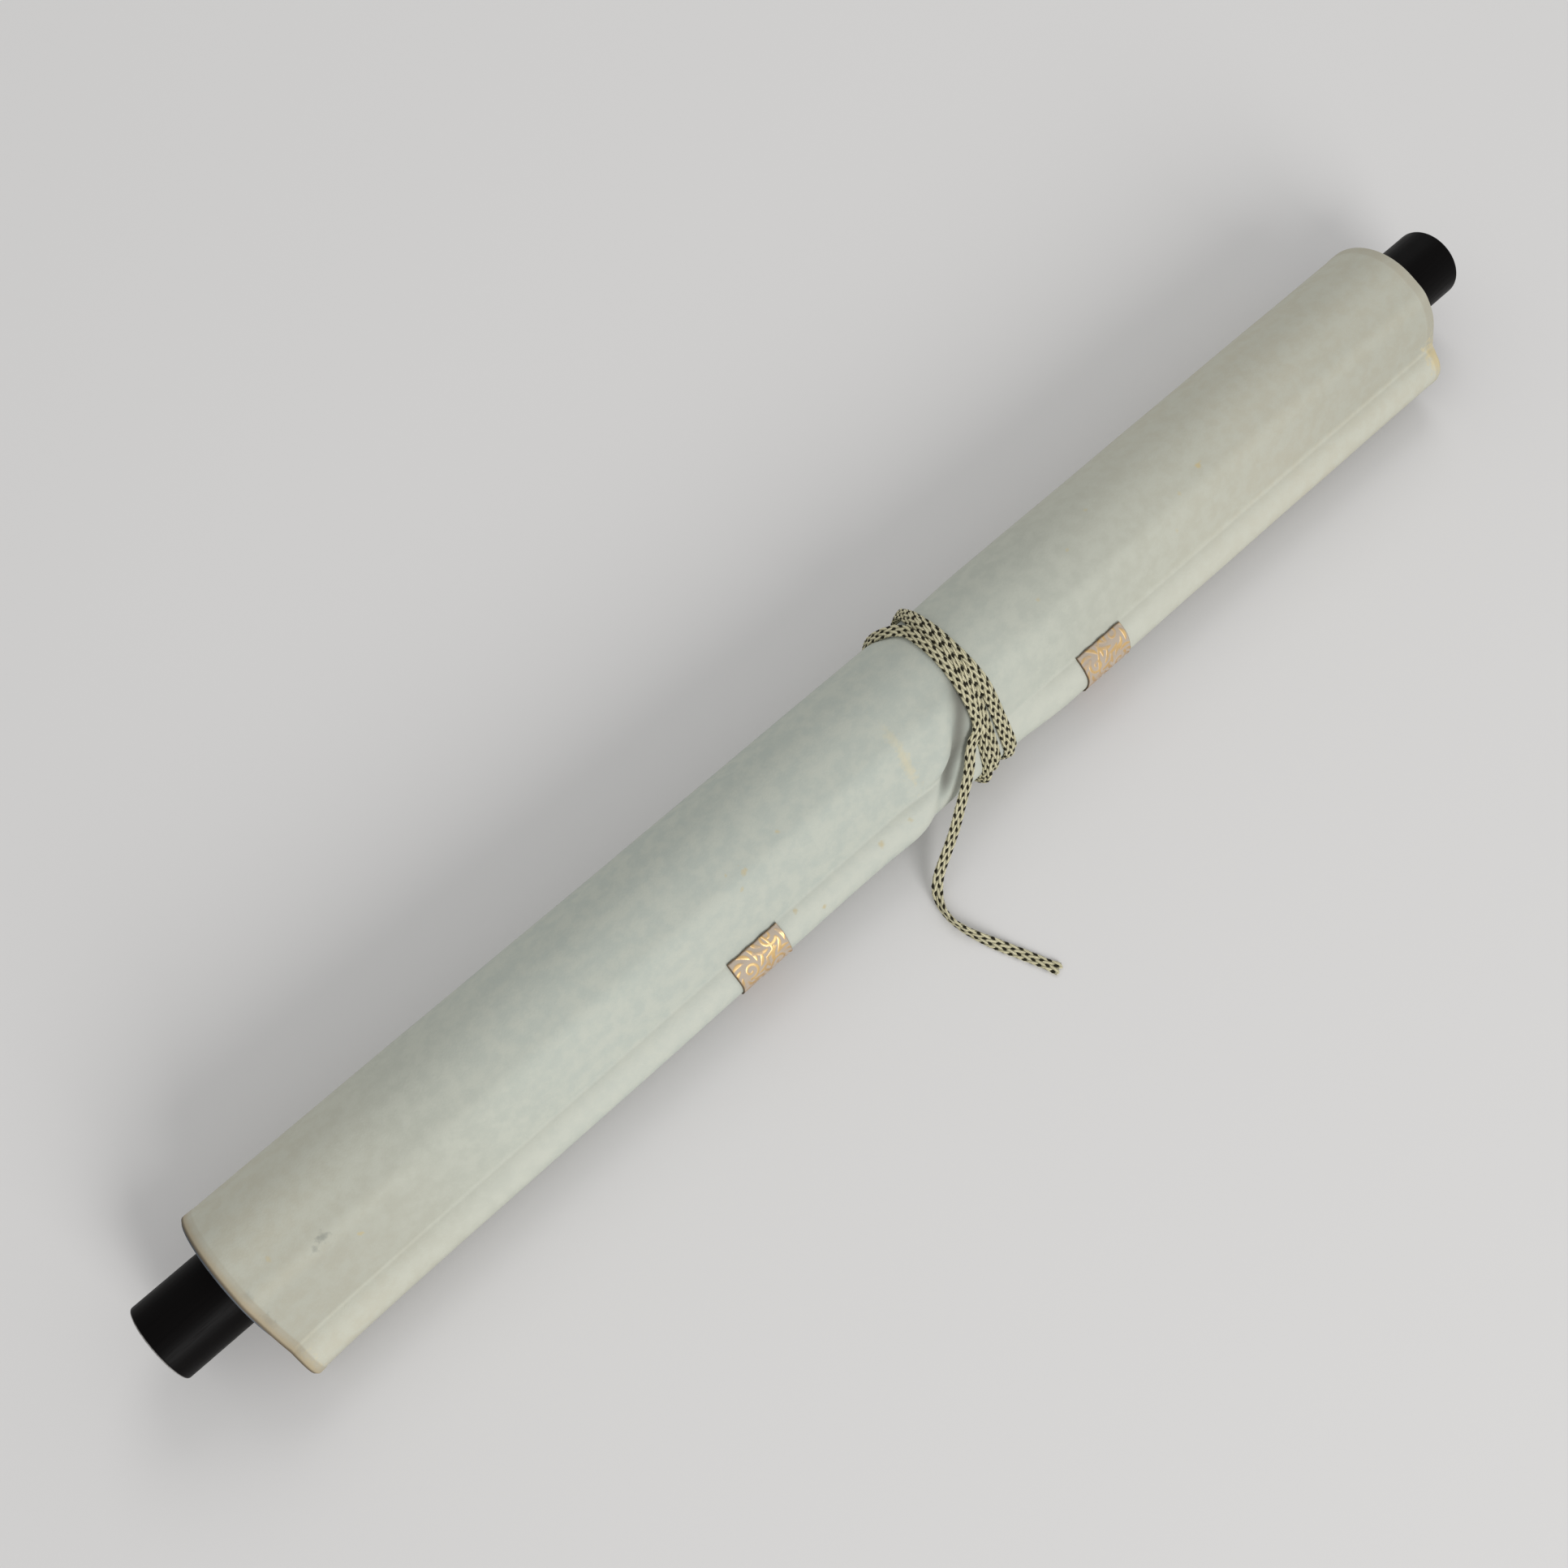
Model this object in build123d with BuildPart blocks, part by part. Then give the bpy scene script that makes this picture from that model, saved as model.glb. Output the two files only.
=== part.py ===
from build123d import *
import math
import os

# Hanging scroll, rolled up and tied. The roller lies along X, the table is z = 0
# and the origin is on the table straight under the roller. The half-round stave is on the -Y side.

# Rolled sheet
sheet_width = 543.0
sheet_thk = 0.6
roll_radius = 24.8
turn_gap = 0.19
rest_depth = 0.9

# Roller and its knobs
rod_radius = 12.5
knob_radius = 14.0
knob_length = 29.5
knob_edge = 0.7
tenon_radius = 7.0
tenon_length = 16.0
socket_air = 1.5

# Half-round stave in the outer end of the sheet
stave_radius = 10.0
stave_edge = 1.2
stave_drop = 18.0
stave_set_in = 1.5
stave_air = 0.6

# Where the outer turn leaves the roll and dips before the stave
leave_angle = 112.0
slack_radius = 33.0
dip_radius = 6.0

# Brocade strips folded over the stave
strip_width = 22.0
strip_thk = 0.4
strip_left_at = -81.5
strip_right_at = 85.0
strip_tuck = 4.0

# Braided cord wound round the roll and the stave
cord_thk = 1.25
cord_dia = 3.0
turns_start = 20.0
strand_width = 4.6
strand_count = 4
strand_groove = 0.3
bunch_width = 6.5
bunch_radius = 20.0
table_air = 0.15

# Eyelets in the lower edge of the stave
eyelet_offset = 67.0
shank_radius = 0.8
shank_length = 6.0
washer_radius = 2.6
washer_thk = 0.5
eye_radius = 2.3
eye_wire = 0.6
knot_radius = 2.2
lead_start = 3.0
lead_bend = 14.0

# Loose tail of the cord, from the turns over the stave and down on to the table
tail_over = 4.4
tail_cross = -4.4

# Roll: every half turn is an arc, its radius half a pitch larger than the one before
first_radius = rod_radius + sheet_thk / 2
last_radius = roll_radius - sheet_thk / 2
full_turns = round((last_radius - first_radius) / (sheet_thk + turn_gap))
pitch = (last_radius - first_radius) / full_turns
half_turns = 2 * full_turns + 2
axis_height = roll_radius - rest_depth
flat_reach = math.sqrt(roll_radius**2 - axis_height**2)
half_width = sheet_width / 2

# Stave: its flat side lies against the roll, with the end of the sheet between them
stave_dir = 180.0 + stave_drop
flat_distance = roll_radius + stave_air + sheet_thk
cover_radius = stave_radius + sheet_thk
edge_lean = math.degrees(math.asin(stave_edge / (stave_radius - stave_edge)))
flat_half = math.sqrt((stave_radius - stave_edge) ** 2 - stave_edge**2)


def polar(centre, radius, angle):
    a = math.radians(angle)
    return (centre[0] + radius * math.cos(a), centre[1] + radius * math.sin(a))


def bearing(a, b):
    return math.degrees(math.atan2(b[1] - a[1], b[0] - a[0])) % 360


axis = (0.0, axis_height)
stave_centre = polar(axis, flat_distance, stave_dir)

# The slack outer turn and the round back of the stave, joined by the dip between them
slack_start = polar(axis, last_radius + pitch, leave_angle)
slack_centre = polar(slack_start, slack_radius, leave_angle + 180)
reach = slack_radius + dip_radius
hold = stave_radius + sheet_thk / 2 + dip_radius
apart = math.dist(slack_centre, stave_centre)
spread = math.degrees(math.acos((reach**2 + apart**2 - hold**2) / (2 * reach * apart)))
dip_dir = bearing(slack_centre, stave_centre) - spread
dip_centre = polar(slack_centre, reach, dip_dir)
land_dir = bearing(stave_centre, dip_centre)
slack_turn = dip_dir - leave_angle
dip_turn = dip_dir - land_dir
back_turn = stave_dir + 90 - edge_lean - land_dir
edge_turn = 90 + edge_lean

# Steps of a run are (radius, turn), a straight is (None, length); left turns are positive
spiral = [(first_radius + k * pitch / 2, 180.0) for k in range(half_turns)]
pocket = [
    (last_radius + pitch, leave_angle - 90),
    (slack_radius, slack_turn),
    (dip_radius, -dip_turn),
    (stave_radius + sheet_thk / 2, back_turn),
    (stave_edge + sheet_thk / 2, edge_turn),
    (None, 2 * flat_half),
]


def walk(start, heading, steps, side):
    # Draws the run shifted to its right by side, which is outwards on the roll
    h = heading
    p = polar(start, side, h - 90)
    first = p
    for radius, turn in steps:
        if radius is None:
            q = polar(p, turn, h)
            Line(p, q)
        elif turn > 0:
            centre = polar(p, radius + side, h + 90)
            CenterArc(centre, radius + side, h - 90, turn)
            h += turn
            q = polar(centre, radius + side, h - 90)
        else:
            centre = polar(p, radius - side, h - 90)
            CenterArc(centre, radius - side, h + 90, turn)
            h += turn
            q = polar(centre, radius - side, h + 90)
        p = q
    return first, p


def band_face(start, heading, steps, inner, outer):
    with BuildLine() as outline:
        a, b = walk(start, heading, steps, outer)
        c, d = walk(start, heading, steps, inner)
        Line(a, c)
        Line(b, d)
    make_face(outline.edges())


def run_length(steps):
    return sum(turn if radius is None else radius * math.radians(abs(turn)) for radius, turn in steps)


# Belt round the roll and the stave: the way the cord's turns run.
# Its round part is raised so that the turns clear the table and sink into the underside.
belt_lift = (roll_radius + pitch - axis_height + cord_thk + table_air) / 2
belt_radius = axis_height + belt_lift - table_air - cord_thk
belt_centre = (0.0, axis_height + belt_lift)
belt_dir = bearing(belt_centre, stave_centre)
belt_lean = math.degrees(math.acos((belt_radius - cover_radius) / math.dist(belt_centre, stave_centre)))


def belt_face(grow, mode=Mode.ADD):
    upper, lower = belt_dir - belt_lean, belt_dir + belt_lean
    with BuildLine() as outline:
        CenterArc(belt_centre, belt_radius + grow, lower, 360 - 2 * belt_lean)
        Line(polar(belt_centre, belt_radius + grow, upper), polar(stave_centre, cover_radius + grow, upper))
        CenterArc(stave_centre, cover_radius + grow, upper, 2 * belt_lean)
        Line(polar(stave_centre, cover_radius + grow, lower), polar(belt_centre, belt_radius + grow, lower))
    make_face(outline.edges(), mode=mode)


turns_width = strand_count * strand_width
turns_end = turns_start + turns_width
stave_under = (stave_centre[0], stave_centre[1] - cover_radius)

# Roller, with a tenon at each end
with BuildPart() as roller_rod:
    with BuildSketch(Plane.YZ.offset(-half_width)):
        with Locations(axis):
            Circle(rod_radius)
    extrude(amount=sheet_width)
    with BuildSketch(Plane.YZ.offset(-half_width - tenon_length)):
        with Locations(axis):
            Circle(tenon_radius)
    extrude(amount=sheet_width + 2 * tenon_length)

# Turned knob, socketed on the tenon
with BuildPart() as roller_knob_right:
    with BuildSketch(Plane.YZ.offset(half_width)):
        with Locations(axis):
            Circle(knob_radius)
    extrude(amount=knob_length)
    chamfer(roller_knob_right.faces().sort_by(Axis.X)[-1].edges(), length=knob_edge)
    with BuildSketch(Plane.YZ.offset(half_width)):
        with Locations(axis):
            Circle(tenon_radius)
    extrude(amount=tenon_length + socket_air, mode=Mode.SUBTRACT)

with BuildPart() as roller_knob_left:
    add(mirror(roller_knob_right.part, about=Plane.YZ))

# Rolled sheet, with its outer end folded round the stave
with BuildPart() as rolled_sheet:
    with BuildSketch(Plane.YZ.offset(-half_width)):
        band_face((0.0, axis_height + first_radius), 180.0, spiral + pocket, -sheet_thk / 2, sheet_thk / 2)
    extrude(amount=sheet_width)
    # Underside pressed flat where the soft roll lies
    below = (Align.CENTER, Align.CENTER, Align.MAX)
    Box(2 * sheet_width, roll_radius, 2 * rest_depth, align=below, mode=Mode.SUBTRACT)
    Box(sheet_width, 2 * flat_reach, sheet_thk, align=(Align.CENTER, Align.CENTER, Align.MIN))
    # The outer turns pulled in under the cord
    with BuildSketch(Plane.YZ.offset(turns_start)):
        belt_face(3 * cord_thk)
        belt_face(0.0, Mode.SUBTRACT)
    extrude(amount=turns_width, mode=Mode.SUBTRACT)
    with BuildSketch(Plane.YZ.offset(turns_start)):
        belt_face(0.0)
        belt_face(-sheet_thk, Mode.SUBTRACT)
    extrude(amount=turns_width)
    # Holes for the eyelets
    with BuildSketch(Plane.XY.offset(stave_under[1] - stave_edge)):
        with Locations((-eyelet_offset, stave_under[0]), (eyelet_offset, stave_under[0])):
            Circle(shank_radius)
    extrude(amount=cover_radius, mode=Mode.SUBTRACT)

# Half-round stave in the fold
with BuildPart() as top_stave:
    with BuildSketch(Plane.YZ.offset(stave_set_in - half_width)):
        with BuildLine():
            back = 90 - edge_lean
            for side in (-1, 1):
                corner = polar(stave_centre, stave_radius - stave_edge, stave_dir + side * back)
                CenterArc(corner, stave_edge, stave_dir + side * back, side * edge_turn)
            CenterArc(stave_centre, stave_radius, stave_dir - back, 2 * back)
            Line(polar(stave_centre, flat_half, stave_dir - 90), polar(stave_centre, flat_half, stave_dir + 90))
        make_face()
    extrude(amount=sheet_width - 2 * stave_set_in)
    with BuildSketch(Plane.XY.offset(stave_under[1] - stave_edge)):
        with Locations((-eyelet_offset, stave_under[0]), (eyelet_offset, stave_under[0])):
            Circle(shank_radius)
    extrude(amount=stave_edge + sheet_thk + shank_length, mode=Mode.SUBTRACT)

# Brocade strip, from the dip over the round back to the flat side
strip_start = polar(dip_centre, dip_radius, land_dir + 180)
strip_steps = [
    (stave_radius + sheet_thk / 2, back_turn),
    (stave_edge + sheet_thk / 2, edge_turn),
    (None, strip_tuck),
]
with BuildPart() as brocade_strip_right:
    with BuildSketch(Plane.YZ.offset(strip_right_at - strip_width / 2)):
        band_face(strip_start, land_dir + 90, strip_steps, sheet_thk / 2, sheet_thk / 2 + strip_thk)
    extrude(amount=strip_width)

with BuildPart() as brocade_strip_left:
    with BuildSketch(Plane.YZ.offset(strip_left_at - strip_width / 2)):
        band_face(strip_start, land_dir + 90, strip_steps, sheet_thk / 2, sheet_thk / 2 + strip_thk)
    extrude(amount=strip_width)

# Eyelet: shank in the stave, washer under the cover and a flat ring for the cord
eye_z = stave_under[1] - washer_thk - eye_radius - eye_wire / 2
with BuildPart() as eyelet_right:
    with BuildSketch(Plane.XY.offset(stave_under[1] - washer_thk)):
        with Locations((eyelet_offset, stave_under[0])):
            Circle(washer_radius)
    extrude(amount=washer_thk)
    with BuildSketch(Plane.XY.offset(stave_under[1])):
        with Locations((eyelet_offset, stave_under[0])):
            Circle(shank_radius)
    extrude(amount=sheet_thk + shank_length)
    with BuildSketch(Plane.YZ.offset(eyelet_offset - eye_wire)):
        with Locations((stave_under[0], eye_z)):
            Circle(eye_radius + eye_wire)
            Circle(eye_radius - eye_wire, mode=Mode.SUBTRACT)
    extrude(amount=2 * eye_wire)

with BuildPart() as eyelet_left:
    add(mirror(eyelet_right.part, about=Plane.YZ))

# Turns of the cord round the middle, side by side, as one closed sleeve
with BuildPart() as cord_turns:
    with BuildSketch(Plane.YZ.offset(turns_start)):
        belt_face(cord_thk)
        belt_face(0.0, Mode.SUBTRACT)
    extrude(amount=turns_width)
    for k in range(1, strand_count):
        with BuildSketch(Plane.YZ.offset(turns_start + k * strand_width - strand_groove / 2)):
            belt_face(2 * cord_thk)
            belt_face(cord_thk - strand_groove, Mode.SUBTRACT)
        extrude(amount=strand_groove, mode=Mode.SUBTRACT)
    # Over the top of the roll the strands bunch up towards the right
    with Locations(Location((turns_start + bunch_width - bunch_radius, 0, 2 * axis_height + bunch_width), (90, 0, 0))):
        Cylinder(bunch_radius, 4 * roll_radius, mode=Mode.SUBTRACT)


def bend_radii(points):
    radii = []
    for a, b, c in zip(points, points[1:], points[2:]):
        u, v = Vector(*b) - Vector(*a), Vector(*c) - Vector(*b)
        radii.append(0.45 * min(u.length, v.length) / math.tan(math.radians(u.get_angle(v)) / 2))
    return radii


# Hidden lead, knotted behind the right eyelet and run along under the stave to the turns
lead_y = stave_under[0]
lead_points = [
    (eyelet_offset + lead_start, lead_y, eye_z),
    (eyelet_offset - lead_bend, lead_y, eye_z),
    (turns_end, lead_y, stave_under[1] - cord_dia / 2 - table_air),
]
with BuildPart() as cord_lead:
    with BuildLine() as lead_route:
        FilletPolyline(*lead_points, radius=bend_radii(lead_points))
    with BuildSketch(Plane(origin=lead_points[0], z_dir=lead_route.line % 0)):
        Circle(cord_dia / 2)
    sweep()
    with BuildSketch(Plane(origin=lead_points[0], z_dir=(1, 0, 0))):
        Circle(knot_radius)
    extrude(amount=2 * knot_radius)

# Tail: off the turns, down past the stave and out across the table
cord_clear = cord_dia / 2 + cord_thk
over = polar(belt_centre, belt_radius + cord_clear, belt_dir - belt_lean)
edge = polar(stave_centre, cover_radius + cord_clear, belt_dir - belt_lean)
lie = cord_dia / 2
tail_points = [
    (turns_start + tail_over, over[0], over[1]),
    (turns_start + tail_cross, edge[0] + 1.0, edge[1] + 1.6),
    (turns_start - 21.9, edge[0] - 9.5, lie + 12.0),
    (turns_start - 34.0, edge[0] - 15.6, lie + 4.6),
    (turns_start - 40.6, edge[0] - 24.6, lie + 0.8),
    (turns_start - 40.4, edge[0] - 34.6, lie),
    (turns_start - 34.6, edge[0] - 46.0, lie),
    (turns_start - 28.9, edge[0] - 56.6, lie),
    (turns_start - 23.4, edge[0] - 67.8, lie),
]
with BuildPart() as cord_tail:
    with BuildLine() as tail_route:
        FilletPolyline(*tail_points, radius=bend_radii(tail_points))
    with BuildSketch(Plane(origin=tail_points[0], z_dir=tail_route.line % 0)):
        Circle(cord_dia / 2)
    sweep()


def run(route):
    return sum(edge.length for edge in route.edges())


print("turns of the roll", full_turns + 1, "pitch", round(pitch, 3))
print("sheet length", round(run_length(spiral + pocket), 1))
print("axis height", axis_height, "slack", round(slack_turn, 1), "dip", round(dip_turn, 1), "back", round(back_turn, 1))
print("belt radius", round(belt_radius, 2), "lift", round(belt_lift, 2), "length", round(
    2 * math.dist(belt_centre, stave_centre) * math.sin(math.radians(belt_lean))
    + math.radians(360 - 2 * belt_lean) * belt_radius + math.radians(2 * belt_lean) * cover_radius, 1))
print("lead length", round(run(lead_route), 1), "radii", [round(r, 1) for r in bend_radii(lead_points)])
print("tail length", round(run(tail_route), 1), "radii", [round(r, 1) for r in bend_radii(tail_points)])
print("tail volume", round(cord_tail.part.volume, 1), "from section", round(
    math.pi * cord_dia**2 / 4 * run(tail_route), 1))
print("lead points", [[round(v, 2) for v in p] for p in lead_points])
print("tail points", [[round(v, 2) for v in p] for p in tail_points])

roller_rod.part.label = "roller_rod"
roller_knob_left.part.label = "roller_knob_left"
roller_knob_right.part.label = "roller_knob_right"
rolled_sheet.part.label = "rolled_sheet"
top_stave.part.label = "top_stave"
brocade_strip_left.part.label = "brocade_strip_left"
brocade_strip_right.part.label = "brocade_strip_right"
eyelet_left.part.label = "eyelet_left"
eyelet_right.part.label = "eyelet_right"
cord_lead.part.label = "cord_lead"
cord_turns.part.label = "cord_turns"
cord_tail.part.label = "cord_tail"

os.makedirs("parts", exist_ok=True)
export_step(roller_rod.part, "parts/roller_rod.step")
export_step(roller_knob_left.part, "parts/roller_knob_left.step")
export_step(roller_knob_right.part, "parts/roller_knob_right.step")
export_step(rolled_sheet.part, "parts/rolled_sheet.step")
export_step(top_stave.part, "parts/top_stave.step")
export_step(brocade_strip_left.part, "parts/brocade_strip_left.step")
export_step(brocade_strip_right.part, "parts/brocade_strip_right.step")
export_step(eyelet_left.part, "parts/eyelet_left.step")
export_step(eyelet_right.part, "parts/eyelet_right.step")
export_step(cord_lead.part, "parts/cord_lead.step")
export_step(cord_turns.part, "parts/cord_turns.step")
export_step(cord_tail.part, "parts/cord_tail.step")
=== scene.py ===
import bpy
import numpy as np
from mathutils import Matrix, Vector


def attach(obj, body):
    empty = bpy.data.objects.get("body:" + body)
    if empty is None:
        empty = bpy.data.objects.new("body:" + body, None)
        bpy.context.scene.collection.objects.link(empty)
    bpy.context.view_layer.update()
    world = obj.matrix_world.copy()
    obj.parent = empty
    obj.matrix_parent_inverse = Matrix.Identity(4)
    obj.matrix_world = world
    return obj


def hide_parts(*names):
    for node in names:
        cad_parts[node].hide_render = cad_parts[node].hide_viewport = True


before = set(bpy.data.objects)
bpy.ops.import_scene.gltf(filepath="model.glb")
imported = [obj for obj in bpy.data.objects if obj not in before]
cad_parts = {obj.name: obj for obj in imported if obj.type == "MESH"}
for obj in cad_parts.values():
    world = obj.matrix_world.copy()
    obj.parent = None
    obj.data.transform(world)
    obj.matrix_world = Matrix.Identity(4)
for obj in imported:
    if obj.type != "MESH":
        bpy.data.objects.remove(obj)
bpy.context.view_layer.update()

# Roller rod: a straight softwood dowel in the middle of the roll, with a tenon turned at each end.
# It is the CAD solid as it is. Only its end grain and the tenons could ever be seen.


def feed(tree, node, inputs):
    """Each named input of the node gets a value, or the output socket that feeds it."""
    for name, value in inputs.items():
        if isinstance(value, bpy.types.NodeSocket):
            tree.links.new(value, node.inputs[name])
        else:
            node.inputs[name].default_value = value


def add(tree, kind, inputs=None, **settings):
    """A shader node of that kind, with its inputs and settings."""
    made = tree.nodes.new("ShaderNode" + kind)
    for name, value in settings.items():
        setattr(made, name, value)
    feed(tree, made, inputs or {})
    return made


def effect(name, takes, gives):
    """A node group for an effect. takes and gives map a socket's name to its kind, such as Float."""
    tree = bpy.data.node_groups.new(name, "ShaderNodeTree")
    for direction, sockets in (("INPUT", takes), ("OUTPUT", gives)):
        for socket, kind in sockets.items():
            tree.interface.new_socket(socket, in_out=direction, socket_type="NodeSocket" + kind)
    return tree, tree.nodes.new("NodeGroupInput").outputs, tree.nodes.new("NodeGroupOutput")


def use(tree, group, inputs):
    """The group placed in a material, with this material's own values."""
    made = tree.nodes.new("ShaderNodeGroup")
    made.node_tree = group
    feed(tree, made, inputs)
    return made.outputs


def combine(tree, operation, *values):
    """The output of a Math node, which applies the operation to values that are numbers or sockets."""
    return add(tree, "Math", dict(enumerate(values)), operation=operation).outputs[0]


def blend_colours(tree, share, first, second):
    """The colour between first and second, by a share from 0 to 1."""
    return add(tree, "Mix", {0: share, 6: first, 7: second}, data_type="RGBA").outputs[2]


def rescale(tree, value, low, high, to_low=0.0, to_high=1.0):
    """value taken from low..high to to_low..to_high, with soft ends."""
    made = add(tree, "MapRange", {0: value, 1: low, 2: high, 3: to_low, 4: to_high},
               interpolation_type="SMOOTHSTEP")
    return made.outputs[0]


def new_finish(name, roughness):
    """A new material with its tree, its Principled shader and the object's own coordinates."""
    material = bpy.data.materials.new(name)
    material.use_nodes = True
    tree = material.node_tree
    shader = tree.nodes["Principled BSDF"]
    shader.inputs["Roughness"].default_value = roughness
    return material, tree, shader, add(tree, "TexCoord").outputs["Object"]


def bump(tree, shader, height, strength, distance):
    """Relief of that height on the shader, distance in metres."""
    made = add(tree, "Bump", {"Height": height, "Strength": strength, "Distance": distance})
    tree.links.new(made.outputs[0], shader.inputs["Normal"])


def make_grain_effect():
    """Lengthwise wood grain: noise drawn out along X by forty, with finer pores over it."""
    tree, given, out = effect("wood_grain", {"Place": "Vector", "Fineness": "Float"},
                              {"Grain": "Float", "Pores": "Float"})
    drawn = add(tree, "Mapping", {"Vector": given["Place"], "Scale": (1.0, 40.0, 40.0)}).outputs[0]
    grain = add(tree, "TexNoise", {"Vector": drawn, "Scale": given["Fineness"], "Detail": 4.0,
                                   "Distortion": 0.6})
    finer = combine(tree, "MULTIPLY", given["Fineness"], 4.5)
    pores = add(tree, "TexNoise", {"Vector": drawn, "Scale": finer, "Detail": 2.0})
    tree.links.new(grain.outputs["Fac"], out.inputs["Grain"])
    tree.links.new(rescale(tree, pores.outputs["Fac"], 0.35, 0.6), out.inputs["Pores"])
    return tree


grain_effect = make_grain_effect()


def make_softwood():
    """Plain softwood: grain between two browns, with darker pores and a shallow relief."""
    material, tree, shader, place = new_finish("softwood", 0.7)
    grain = use(tree, grain_effect, {"Place": place, "Fineness": 14.0})
    warm = blend_colours(tree, grain["Grain"], (0.44, 0.27, 0.13, 1), (0.66, 0.48, 0.28, 1))
    colour = blend_colours(tree, grain["Pores"], (0.36, 0.22, 0.11, 1), warm)
    tree.links.new(colour, shader.inputs["Base Color"])
    bump(tree, shader, grain["Grain"], 0.4, 0.0004)
    return material


softwood = make_softwood()
roller_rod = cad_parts["roller_rod"]
roller_rod.data.materials.clear()
roller_rod.data.materials.append(softwood)

# Roller knobs: two short hardwood knobs, turned, stained near black and rubbed to a satin shine.
# Each is socketed on the rod's tenon and butts against the ends of the roll's inner turns.

MM = 0.001
axis_height = 23.9
half_width = 271.5
knob_radius = 14.0
knob_length = 29.5
knob_edge = 0.75
end_dish = 0.3
rod_shift = 1.1
socket_radius = 7.05
socket_floor = 12.0
knob_sides = 96


def grid_faces(rows, columns, close_rows=False, close_columns=False):
    """Quads between neighbours of a rows by columns grid of points, numbered row by row."""
    r, c = np.meshgrid(np.arange(rows - (not close_rows)), np.arange(columns - (not close_columns)),
                       indexing="ij")
    r2, c2 = (r + 1) % rows, (c + 1) % columns
    quads = np.stack([r * columns + c, r * columns + c2, r2 * columns + c2, r2 * columns + c], -1)
    return quads.reshape(-1, 4)


def make_piece(name, points, faces, finishes, crease=0.7):
    """A mesh object from points in mm and faces, smooth but for edges that turn more than crease."""
    mesh = bpy.data.meshes.new(name)
    mesh.from_pydata((np.asarray(points).reshape(-1, 3) * MM).tolist(), [], np.asarray(faces).tolist())
    for finish in finishes:
        mesh.materials.append(finish)
    mesh.shade_smooth()
    mesh.set_sharp_from_angle(angle=crease)
    piece = bpy.data.objects.new(name, mesh)
    bpy.context.scene.collection.objects.link(piece)
    return piece


def turned(profile, sides, centre):
    """A closed lathe shape: each profile point (x, radius) becomes a ring round X through centre (y, z)."""
    a = np.linspace(0, 2 * np.pi, sides, endpoint=False)
    x, r = np.asarray(profile).T[:, :, None]
    ring = [x + 0 * a, centre[0] + r * np.cos(a), centre[1] + r * np.sin(a)]
    return np.stack(ring, -1)


def make_knob(name, side, finish):
    """The profile runs from the socket over the face at the sheet, the round side and the end face. The end
    face is dished by end_dish, less with the square of the radius, and its rim is a quarter round of
    knob_edge. The rod with both knobs stands rod_shift further out on the right."""
    inner = half_width
    outer = half_width + knob_length + side * rod_shift
    sweep = np.linspace(0, np.pi / 2, 7)
    rim = np.stack([outer - knob_edge + knob_edge * np.sin(sweep),
                    knob_radius - knob_edge + knob_edge * np.cos(sweep)], -1)
    dish = np.linspace(knob_radius - 2 * knob_edge, 0.01, 8)
    face = np.stack([outer - end_dish * (1 - (dish / knob_radius) ** 2), dish], -1)
    socket = [(outer - socket_floor, 0.01), (outer - socket_floor, socket_radius), (inner, socket_radius),
              (inner, knob_radius - 0.2), (inner + 0.2, knob_radius)]
    barrel = np.stack([np.linspace(inner + 1.0, outer - knob_edge - 0.5, 6), np.full(6, knob_radius)], -1)
    profile = np.concatenate([socket, barrel, rim, face])
    points = turned(profile * (side, 1.0), knob_sides, (0.0, axis_height))
    faces = grid_faces(len(profile), knob_sides, close_columns=True)
    if side < 0:
        faces = faces[:, ::-1]
    knob = make_piece(name, points, faces[:, ::-1], [finish], crease=0.6)
    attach(knob, "root")
    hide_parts(name)
    return knob


def make_knob_finish():
    """Near black with a faint grain. The rim of the left end face is painted pale, a painted highlight along
    its edge.
    """
    material, tree, shader, place = new_finish("black_stained_hardwood", 0.4)
    shader.inputs["Specular IOR Level"].default_value = 0.05
    grain = use(tree, grain_effect, {"Place": place, "Fineness": 26.0})
    colour = blend_colours(tree, grain["Grain"], (0.0012, 0.0010, 0.0010, 1), (0.0035, 0.0028, 0.0027, 1))
    where = add(tree, "SeparateXYZ", {0: place})
    from_axis = add(tree, "VectorMath", {0: place, 1: (0, 0, -axis_height * MM)}, operation="ADD").outputs[0]
    flat = add(tree, "VectorMath", {0: from_axis, 1: (0, 1, 1)}, operation="MULTIPLY").outputs[0]
    radius = add(tree, "VectorMath", {0: flat}, operation="LENGTH").outputs["Value"]
    # The left end face's rim: a painted highlight, pale along its edge.
    left_end = -(half_width + knob_length - rod_shift)
    end = rescale(tree, where.outputs[0], (left_end + 0.6) * MM, (left_end + 0.2) * MM)
    rim = rescale(tree, radius, (knob_radius - 0.6) * MM, (knob_radius - 0.3) * MM)
    painted_rim_highlight = combine(tree, "MULTIPLY", end, rim)
    painted_rim_highlight = combine(tree, "MULTIPLY", painted_rim_highlight, grain["Grain"])
    colour = blend_colours(tree, painted_rim_highlight, colour, (0.60, 0.58, 0.55, 1))
    tree.links.new(colour, shader.inputs["Base Color"])
    tree.links.new(rescale(tree, grain["Pores"], 0.0, 1.0, 0.5, 0.38), shader.inputs["Roughness"])
    bump(tree, shader, grain["Grain"], 0.12, 0.0002)
    return material


knob_finish = make_knob_finish()
make_knob("roller_knob_left", -1, knob_finish)
make_knob("roller_knob_right", 1, knob_finish)

# Rolled sheet, inner turns: layered paper and silk, wound fifteen times round the rod.
# The turns shift a little along the roll, so that some edges stand proud at the left end.

sheet_thk = 0.6
first_radius = 12.8
last_radius = 24.5
pitch = 0.78
half_turns = 30
waist_middle = 25.2


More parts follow.
